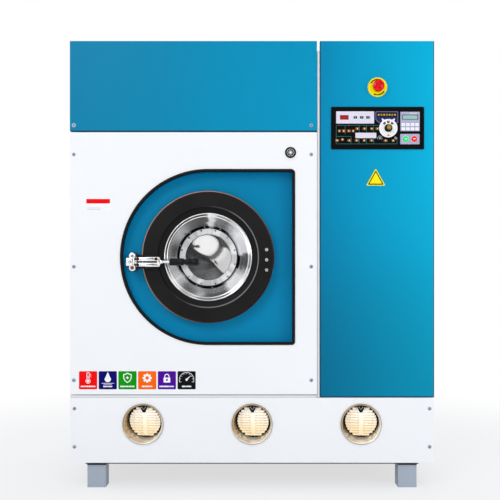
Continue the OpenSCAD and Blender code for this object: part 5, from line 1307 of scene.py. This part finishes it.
# Program dial: a white scale with two ears over a dark-blue plate, and a black knob.
gold = surface("gilded_metal", "#D2AE4E", "#A8863A", 0.0008, 0.00001, 0.28, cloud=0.01,
               metallic=0.9)
plate_x = 0.471
plate_z = 1.3
row_z = plate_z + 0.0085
plate = [(0.0395, -0.0205), (0.0395, 0.0205), (-0.0395, 0.0205), (-0.0395, -0.008),
         (-0.0275, -0.0205)]
bm = bmesh.new()
cut_shape(bm, at(plate_x, plate_z, face), plate, 0.0024, edge=0.0003, corner=0.0025)
cut_shape(bm, at(plate_x, plate_z, face - 0.0024), scaled(plate, 0.94, 0.9), 0.0003, paint=1,
          corner=0.0022)
tile(bm, at(plate_x, row_z, face - 0.0027), 0.07, 0.0135, 0.0002, 0.002, paint=2)
for i in range(7):
    disc(bm, at(plate_x - 0.0285 + i * 0.0095, row_z, face - 0.0029), 0.0037, 0.0002,
         0.0016 if i % 2 else 0.0, steps=16, paint=3)
settle(bm, "dial_plate", "cabinet_door", "grey_plastic",
       printed("grey_blue_border", "#767CA4", "#686E96", 0.35),
       printed("navy_printed_plate", "#23296A", "#181D54", 0.3), anodised, gold)

white_dial = printed("white_engraved_dial", "#FCFCFF", "#F0F0F4", 0.3)
scale_t = 0.0034
scale = at(*dial, face - scale_t)
bm = bmesh.new()
disc(bm, at(*dial, face), 0.032, scale_t, 0.0053, 72)
for s in (-1, 1):
    ear = [(s * 0.0128, 0.0296), (s * 0.0205, 0.0335), (s * 0.0235, 0.0335), (s * 0.0208, 0.0243)]
    cut_shape(bm, at(*dial, face), ear[::s], scale_t)
for angle in (-38, 0, 38):
    cut_shape(bm, scale @ turned(angle), [(-0.0052, 0.0252), (0.0052, 0.0252), (0.0034, 0.0178),
                                          (-0.0034, 0.0178)], 0.0002, paint=1)
    disc(bm, scale @ turned(angle) @ moved(0, -0.0002, 0.0222), 0.0015, 0.0002, steps=12, paint=2)
for tick in range(5, 32):
    tile(bm, scale @ turned(tick * 10) @ moved(0, 0, 0.0262), 0.0005,
         0.0034 if tick % 3 == 0 else 0.0018, 0.00015, paint=1)
cut_shape(bm, scale, [(-0.0068, -0.0252), (0, -0.0215), (0.0068, -0.0252), (0, -0.0285)], 0.0002,
          paint=2)
settle(bm, "dial_face", "cabinet_door", "grey_plastic", white_dial, anodised, gold)

dress("program_dial", surface("black_dial_knob", "#0E0E10", "#070708", 0.001, 0.00002, 0.35))
bm = bmesh.new()
disc(bm, at(*dial, face - 0.021), 0.0074, 0.0003, 0.0052, 40)
disc(bm, at(*dial, face - 0.021), 0.0038, 0.0003, steps=32)
tile(bm, at(*dial, face - 0.018) @ moved(0, 0, 0.0096), 0.0014, 0.0032, 0.0003, paint=1)
settle(bm, "dial_knob_cap", "dial_knob", "brass", gold, white_dial)

# Flow diagram: printed teal lines, with a small amber lamp in each symbol.
line_w = 0.0013
main_z = 1.2722
low_z = 1.2073
branch_z = 1.2335
bm = bmesh.new()
for x0, x1, z in ((0.2944, 0.442, main_z), (0.297, 0.507, low_z), (0.2944, 0.346, branch_z)):
    tile(bm, at((x0 + x1) / 2, z, face), x1 - x0, line_w, 0.0002)
for x, z0, z1 in ((0.2944, low_z, main_z), (0.3745, low_z, main_z), (0.4, low_z, main_z),
                  (0.4256, low_z, main_z), (0.346, low_z, branch_z), (0.507, low_z, 1.2212),
                  (0.3255, 1.2415, main_z)):
    tile(bm, at(x, (z0 + z1) / 2, face), line_w, z1 - z0, 0.0002)
settle(bm, "diagram_lines", "cabinet_door", "black_plastic",
       printed("teal_ink", "#1F8A80", "#167068", 0.4))
symbols = [(x, 1.2526) for x in (0.3055, 0.3205, 0.3385, 0.3535)]
symbols += [(x, 1.2605) for x in (0.368, 0.3935, 0.4185, 0.4385)]
symbols += [(0.2975, 1.2194), (0.316, 1.2225)]
symbols += [(x, 1.2194) for x in (0.34, 0.366, 0.392, 0.418)]
symbols += [(x, 1.2188) for x in (0.467, 0.4935)]
bm = bmesh.new()
for i, (x, z) in enumerate(symbols):
    wide = 0.0125 if i % 3 else 0.0095
    tile(bm, at(x, z, face - 0.0002), wide, 0.0086, 0.0002, 0.0014)
    tile(bm, at(x, z, face - 0.0004), wide - 0.003, 0.0056, 0.0002, 0.0008, paint=1)
    disc(bm, at(x, z, face - 0.0006), 0.0026, 0.0003, steps=16, paint=2)
for x in (0.3075, 0.3385):
    cut_shape(bm, at(x, 1.2715, face - 0.0002), [(-0.0022, 0.0014), (0.0022, 0.0014),
                                                 (0, -0.0018)], 0.0003, paint=3)
tile(bm, at(0.3978, 1.2367, face), 0.073, 0.0188, 0.0012, 0.0008, 0.0003, paint=4)
for x, z, r, start in ((0.447, 1.2272, 0.0082, 150), (0.5035, 1.2285, 0.005, 10)):
    disc(bm, at(x, z, face), r, 0.0002, r - 0.0013, 20, 250, start, paint=5)
    disc(bm, at(x, z, face), r * 0.36, 0.0002, steps=14, paint=5)
settle(bm, "diagram_symbols", "cabinet_door", "black_plastic",
       printed("amber_ink", "#C8742C", "#9C5420", 0.4, 0.0008), anodised,
       printed("cream_ink", "#F4ECC8", "#DCD2A0", 0.4, 0.0008), films["red"], lilac, grey_film)

# ---------------------------------------------------------------------------------------
# Emergency stop. A moulded red mushroom head over a round plate of yellow enamel, which
# carries two turning arrows and is screwed to the electrical door.
stop_x = 0.439
stop_z = 1.406
dress("estop_collar", yellow_enamel)
dress("estop_button", surface("red_moulded_head", "#F20414", "#DC000C", 0.001, 0.00002, 0.26,
                              coat_weight=0.15, coat_roughness=0.08))
bm = bmesh.new()
for start in (-150, 30):
    disc(bm, at(stop_x, stop_z, -0.002), 0.0288, 0.0002, 0.0252, 28, 78, start)
    cut_shape(bm, at(stop_x, stop_z, -0.002, start + 78),
              [(0.0234, 0), (0.0306, 0), (0.027, -0.0068)], 0.0002)
settle(bm, "stop_plate_arrows", "cabinet_door", "yellow", anodised)
head = at(stop_x, stop_z, -0.0374)
bm = bmesh.new()
for start in (-90, 30, 150):
    disc(bm, head, 0.0118, 0.0006, 0.0094, 16, 70, start)
disc(bm, head, 0.0042, 0.0006, 0.003, 24)
settle(bm, "stop_head_marks", "estop_head", "red",
       surface("pressed_red_mark", "#A80010", "#90000C", 0.001, 0.00002, 0.35))
